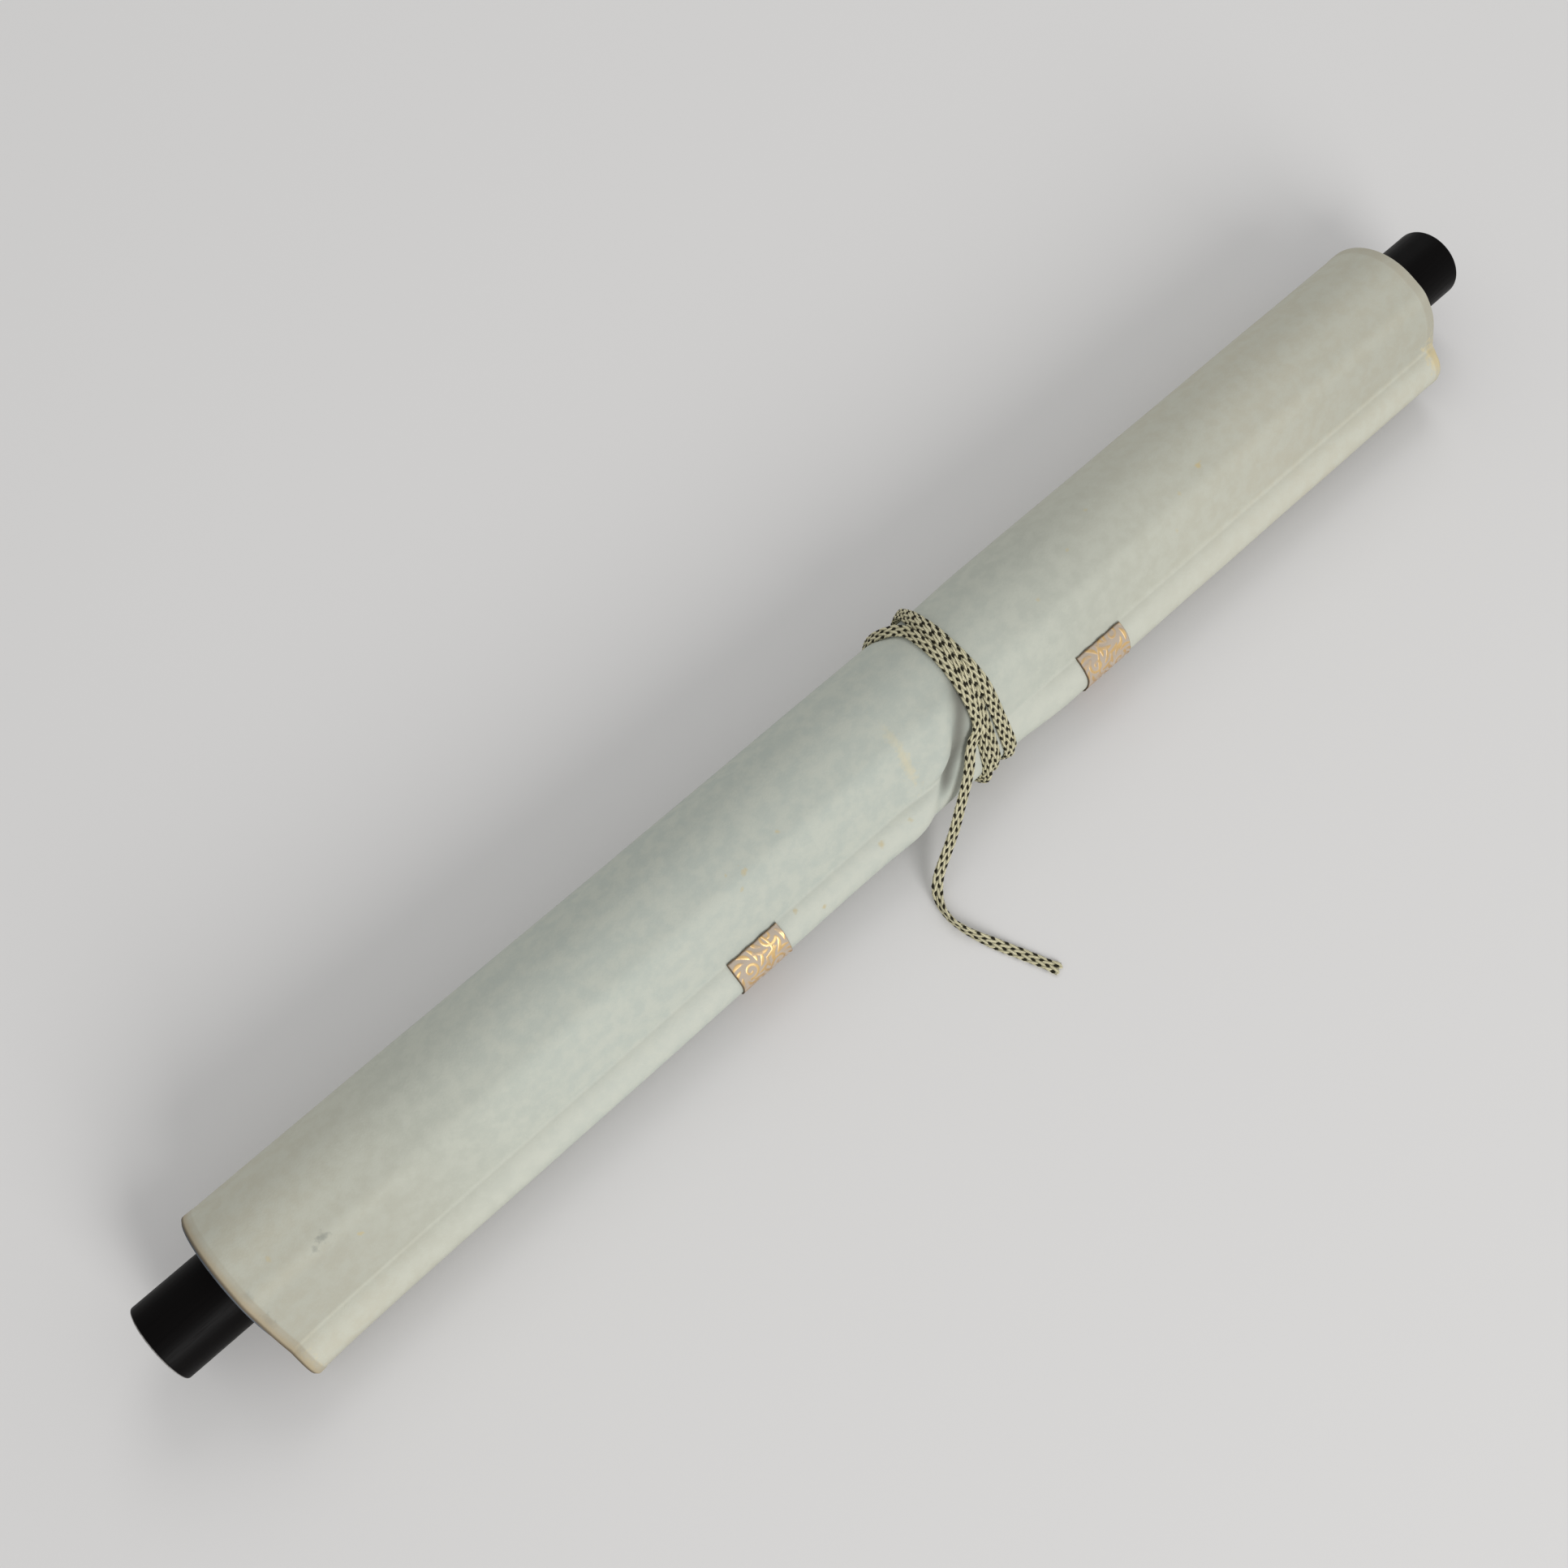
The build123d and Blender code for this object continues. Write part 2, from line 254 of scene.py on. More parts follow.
def along(steps, start, heading, at):
    """Points and outward normals on a chain of tangent arcs and straights, at the lengths at.
    A step is (radius, turn in degrees) or (None, length). Left turns are positive, and out is to the right."""
    straight = np.array([radius is None for radius, turn in steps])
    radius = np.array([r or 1.0 for r, turn in steps])
    turn = np.array([t for r, t in steps], float)
    curve = np.where(straight, 0.0, np.sign(turn) / radius)
    length = np.where(straight, turn, radius * np.radians(abs(turn)))
    begin = np.concatenate([[0.0], np.cumsum(length)])
    head = np.radians(heading + np.concatenate([[0.0], np.cumsum(np.where(straight, 0.0, turn))]))

    def move(p, h, k, l):
        safe = np.where(k == 0, 1.0, k)
        a = h + k * l
        dx = np.where(k == 0, l * np.cos(h), (np.sin(a) - np.sin(h)) / safe)
        dy = np.where(k == 0, l * np.sin(h), (np.cos(h) - np.cos(a)) / safe)
        return p + np.stack([dx, dy], -1), a

    corners = [np.array(start, float)]
    for i in range(len(steps)):
        corners.append(move(corners[-1], head[i], curve[i], length[i])[0])
    i = np.clip(np.searchsorted(begin, at, side="right") - 1, 0, len(steps) - 1)
    p, a = move(np.array(corners)[i], head[i], curve[i], at - begin[i])
    return p, np.stack([np.sin(a), -np.cos(a)], -1)


def ease(value, low, high):
    """0 below low, 1 above high, and a smooth step between."""
    t = np.clip((value - low) / (high - low), 0, 1)
    return t * t * (3 - 2 * t)


def skin_faces(n, m):
    """Faces of a closed skin with 2n rows of m points, whose first n rows are its outside and whose others are
    its inside, going back. Returns them with a cap at each cut end, and how many of them are no caps."""
    skin = grid_faces(2 * n, m, close_rows=True)
    i = np.arange(n - 1)
    cap = np.stack([i, i + 1, 2 * n - 2 - i, 2 * n - 1 - i], -1) * m
    return np.concatenate([skin, cap, cap[:, ::-1] + m - 1]), len(skin)


def band(centres, x):
    """The closed skin of a band. centres is (along, across, 2) in the YZ plane and x is (along, across).
    Each centre moves half the sheet's thickness out and in, across its own line. Returns points and faces,
    and the number of faces that aren't cut edges."""
    run = np.gradient(centres, axis=0)
    run /= np.linalg.norm(run, axis=-1, keepdims=True)
    out = np.stack([run[..., 1], -run[..., 0]], -1) * sheet_thk / 2
    ring = np.concatenate([centres + out, (centres - out)[::-1]])
    shift = np.concatenate([x, x[::-1]])
    return np.concatenate([shift[..., None], ring], -1), *skin_faces(*centres.shape[:2])


def make_inner_turns(name, finishes):
    """Half turns whose radius grows by half a pitch each, the right hand ones centred half a pitch higher.
    Where the cord ties the roll the outer ones are drawn in, and more so under the valley beside it. At the
    bottom they rest on each other, and each slips a little along the roll."""
    steps = [(first_radius + k * pitch / 2, 180.0) for k in range(half_turns)]
    total = sum(np.pi * radius for radius, angle in steps)
    at = np.linspace(0.0, total - 0.5, 800)
    centre = along(steps, (0.0, axis_height + first_radius), 180.0, at)[0]
    radius = np.hypot(centre[:, 0], centre[:, 1] - axis_height)[:, None]
    x = np.array([-half_width, -268, -200, -4, 2, 6, 9, 12, 15, 18, 21, 24, 28, 33, 38, 50, 65, 200, 268,
                  half_width])[None, :]
    tied = ease(x, 10, 19) * (1 - ease(x, 38, 62))
    under_valley = np.exp(-((x - 17.0) / 9.0) ** 2)
    squeeze = 1 - 0.06 * (tied + under_valley) * ease(radius, 16, 25)
    y = centre[:, :1] * squeeze
    z = waist_middle + (centre[:, 1:] - waist_middle) * squeeze
    rest = sheet_thk / 2 + 0.62 * (24.9 - radius) / pitch + 1.7 * tied
    z = np.maximum(z, rest)
    slip = -0.75 * ease(radius, 15.0, 20.0) + 0.14 * np.sin(2.4 * radius) * ease(radius, 15.0, 18.0)
    points, faces, on_skin = band(np.stack([y, z], -1), x + slip)
    turns = make_piece(name, points, faces[:, ::-1], finishes)
    finish_of = np.zeros(len(faces), np.int32)
    finish_of[on_skin:] = 1
    turns.data.polygons.foreach_set("material_index", finish_of)
    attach(turns, "root")
    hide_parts("rolled_sheet")
    return turns


def make_paper_effect():
    """Mounting paper: broad clouds, small mottling and fibres, as one value about 0.5, and a fibre relief."""
    tree, given, out = effect("paper_mottle", {"Place": "Vector", "Fibre": "Float"},
                              {"Cloud": "Float", "Mottle": "Float", "Relief": "Float"})
    cloud = add(tree, "TexNoise", {"Vector": given["Place"], "Scale": 17.0, "Detail": 3.0, "Roughness": 0.55})
    mottle = add(tree, "TexNoise", {"Vector": given["Place"], "Scale": 190.0, "Detail": 3.0, "Roughness": 0.6})
    fibre = add(tree, "TexNoise", {"Vector": given["Place"], "Scale": given["Fibre"], "Detail": 3.0})
    tree.links.new(cloud.outputs["Fac"], out.inputs["Cloud"])
    tree.links.new(mottle.outputs["Fac"], out.inputs["Mottle"])
    tree.links.new(fibre.outputs["Fac"], out.inputs["Relief"])
    return tree


def make_stain_effect():
    """A stain: 1 at its place and 0 past its size, with a ragged edge. Squash narrows it along an axis."""
    tree, given, out = effect("stain", {"Place": "Vector", "Middle": "Vector", "Squash": "Vector",
                                        "Size": "Float", "Strength": "Float"}, {"Mask": "Float"})
    offset = add(tree, "VectorMath", {0: given["Place"], 1: given["Middle"]}, operation="SUBTRACT").outputs[0]
    shaped = add(tree, "VectorMath", {0: offset, 1: given["Squash"]}, operation="MULTIPLY").outputs[0]
    reach = add(tree, "VectorMath", {0: shaped}, operation="LENGTH").outputs["Value"]
    rough = add(tree, "TexNoise", {"Vector": given["Place"], "Scale": 700.0, "Detail": 3.0}).outputs["Fac"]
    ragged = combine(tree, "MULTIPLY_ADD", rough, 2.4, -0.2)
    far = combine(tree, "MULTIPLY", reach, ragged)
    share = combine(tree, "DIVIDE", far, given["Size"])
    soft = rescale(tree, share, 0.1, 1.0, 1.0, 0.0)
    mask = combine(tree, "MULTIPLY", soft, given["Strength"])
    tree.links.new(mask, out.inputs["Mask"])
    return tree


paper_effect = make_paper_effect()
stain_effect = make_stain_effect()


def make_back_paper():
    """The sheet's backing: blue-grey paper, softly mottled, painted dark as shade inside the roll."""
    material, tree, shader, place = new_finish("backing_paper_painted_shade", 0.9)
    mottle = use(tree, paper_effect, {"Place": place, "Fibre": 2200.0})
    # Blue-grey, painted dark: painted shade for the inside of the roll.
    colour = blend_colours(tree, mottle["Mottle"], (0.06, 0.07, 0.085, 1), (0.15, 0.165, 0.18, 1))
    tree.links.new(colour, shader.inputs["Base Color"])
    bump(tree, shader, mottle["Relief"], 0.3, 0.0002)
    return material


def make_cut_edge():
    """Cut edges of the layers: tan, mottled with paler fibres."""
    material, tree, shader, place = new_finish("cut_edge", 0.9)
    mottle = use(tree, paper_effect, {"Place": place, "Fibre": 2600.0})
    colour = blend_colours(tree, mottle["Mottle"], (0.26, 0.22, 0.16, 1), (0.46, 0.42, 0.34, 1))
    tree.links.new(colour, shader.inputs["Base Color"])
    bump(tree, shader, mottle["Relief"], 0.5, 0.0003)
    return material


backing_painted_dark = make_back_paper()
cut_edge = make_cut_edge()
make_inner_turns("sheet_inner_turns", [backing_painted_dark, cut_edge])

# Rolled sheet, outer turn: the last turn leaves the roll a little slack, dips, and folds round the stave.
# The cord draws it in at the middle, a folded hem runs along both ends, and age has left it foxed.

cover_radius = 10.3
sheet_steps = [
    # radius and turn of the centre line, from the top of the roll to the cut end: round the roll, off it
    # nearly flat, a soft crease, the slack, the dip, the stave's round back, its lower edge, its flat side
    (25.28, 13.0), (60.0, 6.04), (10.0, 29.91), (60.0, 19.08), (2.4, -51.25),
    (cover_radius, 173.39), (1.5, 97.8), (None, 17.4)]
dip_step = 4
meet_angle = 151.9
stave_middle = np.array([-24.73, 15.87])
tied_middle = np.array([0.0, 25.44])
tied_radius = 24.04
tied_cover = 9.1
tied_sink = 1.5
slope_width = 8.0
drawn_radius, drawn_middle = 23.35, 25.05
left_rows, right_rows, before_rows = 22, 36, 84
stave_drift = 1.5
drift_way = np.array([-0.975, -0.22])


def drift(x):
    """How far the stave and its cover stand away from the roll at x, growing evenly to the left end."""
    return stave_drift * np.clip(-x / 270.0, 0, 1)


def tied_run(first_angle):
    """Steps of the sheet's centre line where the cord ties it: round the roll from an angle, straight to
    the stave, and round the stave's back. Returns the steps and the direction of the straight's normal."""
    between = stave_middle - tied_middle
    lean = np.degrees(np.arccos((tied_radius - tied_cover) / np.hypot(*between)))
    normal = np.degrees(np.arctan2(between[1], between[0])) % 360 - lean
    straight = np.hypot(*between) * np.sin(np.radians(lean))
    return [(tied_radius - sheet_thk / 2, normal - first_angle), (None, straight)], normal


def outer_turn_lines():
    """Two centre lines with matching points: the slack one away from the cord, and the tied one under it.
    Also g, the length along the slack one from the top of the roll. Points are close at crease and dip, and
    from meet_angle round the stave on, both lines run side by side."""
    ends = np.cumsum([radius * np.radians(abs(turn)) if radius else turn for radius, turn in sheet_steps])
    cover_start = 90.0 + sum(turn for radius, turn in sheet_steps[:dip_step + 1])
    meet = ends[dip_step] + cover_radius * np.radians(meet_angle - cover_start)
    top = (0.0, axis_height + last_radius + pitch)
    before = np.interp(np.arange(before_rows), [0, 8, 24, 44, 66, before_rows],
                       [0, 11.5, 18.0, ends[dip_step - 1] - 0.8, ends[dip_step] + 0.8, meet])
    g_run = np.concatenate([before, np.linspace(meet, ends[-1], 36)])
    left = along([(last_radius, 180.0)], (0.0, axis_height + last_radius), 180.0,
                 np.linspace(2.0, np.pi * last_radius, left_rows, endpoint=False))[0]
    right_radius = last_radius + pitch / 2
    right = along([(right_radius, 180.0)], (0.0, axis_height - last_radius), 0.0,
                  np.linspace(0, np.pi * right_radius, right_rows, endpoint=False))[0]
    run, out = along(sheet_steps, top, 180.0, g_run)
    slack = np.concatenate([left, right, run])
    g = np.concatenate([np.linspace(-155, -78, left_rows), np.linspace(-78, -1, right_rows), g_run])

    around = np.linspace(np.pi / 2, 3 * np.pi / 2, left_rows)
    tied_left = np.stack([drawn_radius * np.cos(around), drawn_middle + drawn_radius * np.sin(around)], -1)
    r = tied_radius - sheet_thk / 2
    rise = np.linspace(-np.pi / 2, np.pi / 2, right_rows, endpoint=False)
    tied_right = tied_middle + r * np.stack([np.cos(rise), np.sin(rise)], -1)
    steps, normal = tied_run(90.0)
    steps = steps + [(tied_cover - sheet_thk / 2, meet_angle - normal)]
    tied_total = sum(s * np.radians(t) if s else t for s, t in steps)
    tied_top = along(steps, (0.0, tied_middle[1] + r), 180.0, before / meet * tied_total)[0]
    sink = tied_sink * (1 - ease(g_run[before_rows:], 60, 69))
    rest = run[before_rows:] - out[before_rows:] * sink[:, None]
    return slack, np.concatenate([tied_left, tied_right, tied_top, rest]), g


def pull_of_cord(x, g):
    """Where the cord's pull begins: a border that runs askew, from x 19 on the roll to x -13 on the stave.
    Returns it, the middle of the slope beside it, and the share of the tied line, a logistic step in x."""
    border = np.interp(g, [-160, 12, 22, 28, 33, 37, 41, 46, 56, 70],
                       [19, 19, 15, 11.8, 9.4, 5.0, 1.0, -3, -10.5, -13])
    slope = border + slope_width / 2
    return border, slope, (1 - ease(x, 37.0, 66.0)) / (1 + np.exp((slope - x) * 5.0 / slope_width))


def paper_tone_and_painted_shade(x, g, slope):
    """Tone of the outer paper with painted shade: above 0 where it is paler, below 0 where it is darker. The
    part from the crease on and the stave's cover are paler. Painted shade darkens the cover lower down, the
    roll's top and the front at both ends. The part right of the cord is darker, and painted deep shade lies in
    the valley beside the cord."""
    # Painted shade: both ends darker on the front, for the weaker light there.
    ends = 0.5 * ease(x, 120, 250) + ease(x, -150, -262)
    paleness_and_painted_shade = 0.12 * ease(g, 12.0, 22.0) - ends * (0.25 * ease(g, 2.0, 14.0) + 0.4 * ease(g, 15.0, 21.0))
    # The stave's cover is paler, and painted shade darkens it lower down, where it turns from the light.
    paleness_and_painted_shade += ease(g, 37.5, 39.0) * (0.45 + 0.2 * ends - 1.25 * ease(g, 46, 61))
    # Painted shade on the roll's top and brow.
    paleness_and_painted_shade -= 0.17 * ease(g, -18, 0) * (1 - ease(g, 5, 24))
    paleness_and_painted_shade -= ease(x, 30, 90) * (0.1 + 0.13 * ease(g, 14, 24)) * (1 - ease(g, 36.0, 38.0))
    # Painted shade: the valley beside the cord made deep dark, standing in for the shade in that groove.
    painted_valley_shade = np.exp(-((x - slope - 4.6) / 3.9) ** 2) * ease(g, 6, 15) * (1 - ease(g, 42, 50))
    return paleness_and_painted_shade * (1 - painted_valley_shade) - 1.75 * painted_valley_shade


def mark_points(piece, label, values):
    """A number for each point of the piece, which its material reads by this label."""
    mark = piece.data.attributes.new(label, "FLOAT", "POINT")
    mark.data.foreach_set("value", np.asarray(values, np.float32).ravel())


def read_mark(tree, label):
    """The number that mark_points gave each point, in a material."""
    return add(tree, "Attribute", attribute_name=label).outputs["Fac"]


def make_outer_turn(name, finishes):
    """The slack line is mixed with the tied one by the cord's pull. Then each centre moves: across its line by
    slow waves, a pucker at the cord, the hem, the rounder right end and the worn left and right edges; in
    the directions lifted by a ridge left of the cord and a valley next to it; and away from the roll by the
    stave's drift, which the far left end has more of."""
    slack, tied, g = outer_turn_lines()
    x = np.concatenate([np.linspace(-half_width, -264, 17), np.arange(-260.0, -20.0, 4.0),
                        np.arange(-20.0, 0, 1.6), np.arange(0.0, 44.0, 1.0), np.arange(44.0, 70.0, 2.0),
                        np.arange(70.0, 262.0, 4.0), np.linspace(264, half_width, 17)])
    g2, x2 = np.meshgrid(g, x, indexing="ij")
    border, slope, share = pull_of_cord(x2, g2)
    centres = slack[:, None, :] * (1 - share[..., None]) + tied[:, None, :] * share[..., None]
    centres[:left_rows, :, 0] *= 1 - 0.07 * np.exp(-((x - 17.0) / 9.0) ** 2)
    run = np.gradient(centres, axis=0)
    run /= np.linalg.norm(run, axis=-1, keepdims=True)
    out = np.stack([run[..., 1], -run[..., 0]], -1)
    on_top = ease(g2, -60, -20) * (1 - ease(g2, 58, 66))
    slack_part = ease(g2, 6, 26) * (1 - 0.65 * ease(g2, 34, 40)) * (1 - ease(g2, 42, 60))
    cover_part = ease(g2, 38, 43) * (1 - ease(g2, 60, 68))

    ridge = 3.0 * np.exp(-((x2 - border + 1.5) / 9.0) ** 2) * slack_part * (1 - share)
    valley = np.exp(-((x2 - slope - 3.0) / 2.8) ** 2)
    valley = valley * (0.8 * ease(g2, 16, 26) + 1.4 * ease(g2, 27, 35)) * (1 - ease(g2, 38, 47))
    lifted = np.radians(np.interp(g2, [0, 13, 17, 36, 44, 62], [90, 110, 132, 142, 150, 185]))
    lift = np.stack([np.cos(lifted), np.sin(lifted)], -1) * (ridge - valley)[..., None]

    puffed = 0.45 * np.exp(-((x2 + 9.0) / 12.0) ** 2) * cover_part * (1 - share)
    waves = 0.09 * np.sin(x2 / 31.0 + 0.05 * g2) * np.sin(g2 / 13.0 + 1.0)
    waves = waves + 0.03 * np.sin(x2 / 9.1 + 2.0 + g2 / 7.0)
    pucker = 0.05 * np.sin(x2 * 1.1 + g2 * 0.16) * np.exp(-((x2 - border - 3.5) / 9.0) ** 2) * slack_part
    hem = 0.16 * ease(abs(x2), 267.2, 267.9) * on_top
    rounder = 1.2 * np.exp(-((g2 - 24.0) / 7.5) ** 2) * ease(x2, 110, 266)
    worn_end = -1.3 * (1 - np.sqrt(1 - ease(abs(x2), 269.6, 271.5) ** 2 * 0.98)) * cover_part
    across = (waves * (1 - share) + pucker) * on_top + puffed + hem + rounder + worn_end
    centres = centres + out * across[..., None] + lift
    away = (drift(x2) + 1.0 * np.exp(-(x2 + half_width) / 12.0)) * ease(g2, 14, 42)
    centres = centres + away[..., None] * drift_way
    centres[..., 1] = np.maximum(centres[..., 1], sheet_thk / 2)

    points, faces, on_skin = band(centres, x2)
    turn = make_piece(name, points, faces[:, ::-1], finishes)
    n, m = g2.shape
    finish_of = np.zeros(len(faces), np.int32)
    finish_of[n * (m - 1):2 * n * (m - 1) - (m - 1)] = 1
    finish_of[on_skin:] = 2
    turn.data.polygons.foreach_set("material_index", finish_of)
    # Paler tone and painted shade of the outer paper, per point, for its material.
    tone_and_shade_share = paper_tone_and_painted_shade(x2, g2, slope)
    mark_points(turn, "paleness_and_painted_shade", np.concatenate([tone_and_shade_share, tone_and_shade_share[::-1]]))
    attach(turn, "root")
    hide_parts("rolled_sheet")
    return turn


def stains(tree, place, marks):
    """The strongest of several stains, each (x, y, z, size, strength) or with a squash after that, in mm."""
    total = None
    for x, y, z, size, strength, *squash in marks:
        mask = use(tree, stain_effect, {
            "Place": place, "Middle": (x * MM, y * MM, z * MM), "Squash": squash[0] if squash else (1, 1, 1),
            "Size": size * MM, "Strength": strength})["Mask"]
        if total is not None:
            mask = combine(tree, "MAXIMUM", total, mask)
        total = mask
    return total


def make_paper():
    """Grey-green mounting paper, cooler in the middle and warmer towards the ends. Its per-point attribute
    makes it paler where above 0 and darker where below 0, and most of that darkening is painted shade. The hem
    and the left rim are tan, and foxing, yellow water marks and smudges lie where they lie on the real one.
    Each is a mask from 0 to 1 that blends in its own colour."""
    material, tree, shader, place = new_finish("mounting_paper", 0.82)
    mottle = use(tree, paper_effect, {"Place": place, "Fibre": 1500.0})
    where = add(tree, "SeparateXYZ", {0: place})
    from_middle = combine(tree, "ABSOLUTE", where.outputs[0])
    cool = blend_colours(tree, mottle["Cloud"], (0.380, 0.415, 0.370, 1), (0.432, 0.460, 0.407, 1))
    warm = blend_colours(tree, mottle["Cloud"], (0.437, 0.430, 0.347, 1), (0.487, 0.463, 0.370, 1))
    yellowed = combine(tree, "MAXIMUM", rescale(tree, where.outputs[0], -0.01, 0.20),
                       rescale(tree, where.outputs[0], -0.14, -0.27))
    ground = blend_colours(tree, yellowed, cool, warm)
    speck = rescale(tree, mottle["Mottle"], 0.32, 0.68, 0.0, 0.5)
    ground = blend_colours(tree, speck, ground, (0.50, 0.51, 0.435, 1))
    # Paler tone and painted shade of the outer turn, as marked per point.
    paleness_and_shade_mark = read_mark(tree, "paleness_and_painted_shade")
    paler = combine(tree, "MULTIPLY", paleness_and_shade_mark, 0.6)
    ground = blend_colours(tree, paler, ground, (0.60, 0.60, 0.52, 1))
    # Darker towards a deep grey-brown: painted shade in the valley, on the roll's top, low on the cover and at
    # the ends.
    darker_and_painted_shade = combine(tree, "MULTIPLY", paleness_and_shade_mark, -0.5)
    ground = blend_colours(tree, darker_and_painted_shade, ground, (0.14, 0.137, 0.115, 1))
    foxing = stains(tree, place, [
        (-70.5, -12.9, 46.0, 1.6, 0.6), (-76.0, -10.3, 47.3, 1.0, 0.6), (-53.5, -10.3, 47.3, 1.1, 0.5),
        (-55.0, -21.3, 39.6, 1.3, 0.55), (-47.0, -26.8, 31.9, 1.2, 0.6), (-74.5, -16.6, 43.8, 1.0, 0.5),
        (-62.5, -29.4, 25.9, 1.4, 0.6), (-53.5, -33.9, 21.2, 1.3, 0.7), (-24.5, -31.5, 24.0, 1.7, 0.6),
        (-11.0, -31.5, 24.0, 1.5, 0.6), (151.5, -8.7, 47.9, 1.5, 0.75), (108.0, 5.3, 48.9, 1.1, 0.4),
        (91.5, -1.7, 49.4, 1.0, 0.4), (70.5, -8.4, 48.1, 1.1, 0.4), (131.0, -20.6, 40.4, 1.5, 0.6),
        (138.5, -11.8, 46.6, 1.2, 0.5), (136.0, -28.5, 27.9, 1.2, 0.5), (-257.0, -8.4, 48.1, 1.2, 0.4),
        (-233.0, -19.9, 41.0, 1.5, 0.8), (-163.5, -25.5, 34.2, 1.4, 0.6)])
    ground = blend_colours(tree, foxing, ground, (0.47, 0.38, 0.19, 1))
    yellow = stains(tree, place, [
        (-2.5, -12.0, 46.5, 6.0, 0.25, (2.2, 0.8, 0.5)), (-2.8, -20.0, 40.5, 10.0, 0.4, (3.6, 0.7, 0.7)),
        (270.0, -31.0, 24.4, 5.5, 1.0, (1, 0.6, 0.45)), (-270.5, -33.5, 20.0, 4.0, 0.6, (1, 0.6, 0.5))])
    ground = blend_colours(tree, yellow, ground, (0.60, 0.51, 0.30, 1))
    smudge = stains(tree, place, [
        (-241.5, -13.8, 45.6, 2.4, 0.55, (0.8, 1.2, 1)), (-245.5, -14.7, 45.0, 1.5, 0.4),
        (-268.9, -21.5, 39.5, 3.0, 0.45, (1.6, 0.7, 0.7)), (-268.0, -13.0, 46.0, 2.6, 0.25, (1.6, 0.7, 1))])
    ground = blend_colours(tree, smudge, ground, (0.17, 0.18, 0.16, 1))
    lower = combine(tree, "MULTIPLY", rescale(tree, where.outputs[1], -0.004, -0.020),
                    rescale(tree, where.outputs[0], 0.0, -0.1))
    hem_share = rescale(tree, lower, 0.0, 1.0, 0.24, 0.5)
    hem = combine(tree, "MULTIPLY", rescale(tree, from_middle, 0.2674, 0.2682), hem_share)
    ground = blend_colours(tree, hem, ground, (0.30, 0.25, 0.17, 1))
    for start, end, share, colour in ((-0.2684, -0.2709, 0.6, (0.33, 0.25, 0.14, 1)),
                                      (-0.2704, -0.2713, 0.85, (0.07, 0.052, 0.032, 1))):
        rim = rescale(tree, where.outputs[0], start, end, 0.0, share)
        ground = blend_colours(tree, rim, ground, colour)
    tree.links.new(ground, shader.inputs["Base Color"])
    height = combine(tree, "MULTIPLY_ADD", mottle["Mottle"], 1.2, mottle["Relief"])
    bump(tree, shader, height, 0.35, 0.0002)
    return material


mounting_paper = make_paper()
make_outer_turn("sheet_outer_turn", [mounting_paper, backing_painted_dark, cut_edge])

# Stave: a half-round softwood lath in the fold, its flat side towards the roll.
# It keeps the sheet's outer end straight and carries the two eyelets.

stave_radius = 8.4
stave_half_length = 269.6
stave_turn = np.radians(198.0)


def make_stave(name, finish):
    """A half disc, its arc closed by a flat side, drawn from end to end and shrunk to a point at each end
    face. Its middle follows the drift of the fold towards the left end."""
    a = np.linspace(-np.pi / 2, np.pi / 2, 40)
    round_back = np.stack([stave_radius * np.cos(a), stave_radius * np.sin(a)], -1)
    flat_side = np.stack([np.full(8, 0.15), np.linspace(0.96, -0.96, 8) * stave_radius], -1)
    section = np.concatenate([round_back, flat_side])
    turn = np.array([[np.cos(stave_turn), -np.sin(stave_turn)], [np.sin(stave_turn), np.cos(stave_turn)]])
    section = section @ turn.T
    end = np.array([0.0, 0.0, 0.4, 1.2, 3.0])
    end_shrink = np.array([0.001, 0.9, 0.93, 0.98, 1.0])
    x = np.concatenate([-stave_half_length + end, np.linspace(-250, 250, 21), (stave_half_length - end)[::-1]])
    shrink = np.concatenate([end_shrink, np.ones(21), end_shrink[::-1]])
    away = drift(x)[:, None] * drift_way
    yz = stave_middle + away[:, None, :] + section[None] * shrink[:, None, None]
    points = np.concatenate([np.broadcast_to(x[:, None, None], yz.shape[:2] + (1,)), yz], -1)
    stave = make_piece(name, points, grid_faces(len(x), len(section), close_columns=True)[:, ::-1], [finish])
    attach(stave, "root")
    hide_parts(name)
    return stave


make_stave("top_stave", softwood)

# Brocade strips: two short straps of woven silk, pasted over the stave's cover and folded under it.
# A gilt thread scroll lies on a pale peach ground, and the upper edge is frayed and dark, its darkness partly
# painted shade.

strip_width = 22.0
strip_places = {"brocade_strip_left": -81.5, "brocade_strip_right": 85.0}
strip_length = 36.0
strip_thk = 0.35


def scroll_strokes(seed):
    """Points of a leafy scroll on the strap, in mm, each with the half width of the stroke there.
    A wavy stem runs along; tendrils leave it on both sides as spirals, each with a fan of curved leaves."""
    t = np.linspace(0, 1, 120)
    strokes = [np.stack([11.0 + 5.0 * np.sin(6.0 * t + seed), 40.0 * t - 2.0, 0.38 + 0 * t], -1)]
    for k in range(7):
        side = 1 - 2 * (k % 2)
        middle = np.array([11.0 + side * 5.4, 0.8 + 5.6 * k])
        a = 1.3 * k + seed + side * 2 * np.pi * 1.15 * t
        r = 3.3 * (1 - 0.82 * t)
        strokes.append(np.stack([middle[0] + r * np.cos(a), middle[1] + r * np.sin(a), 0.5 - 0.2 * t], -1))
        for leaf in range(9):
            s = t[::3]
            bend = seed + leaf * 0.7 + k + side * 0.8 * s
            reach = 3.9 + 2.9 * s
            strokes.append(np.stack([middle[0] + reach * np.cos(bend), middle[1] + reach * np.sin(bend),
                                     0.08 + 0.5 * np.sin(np.pi * s) ** 0.8], -1))
    return np.concatenate(strokes)


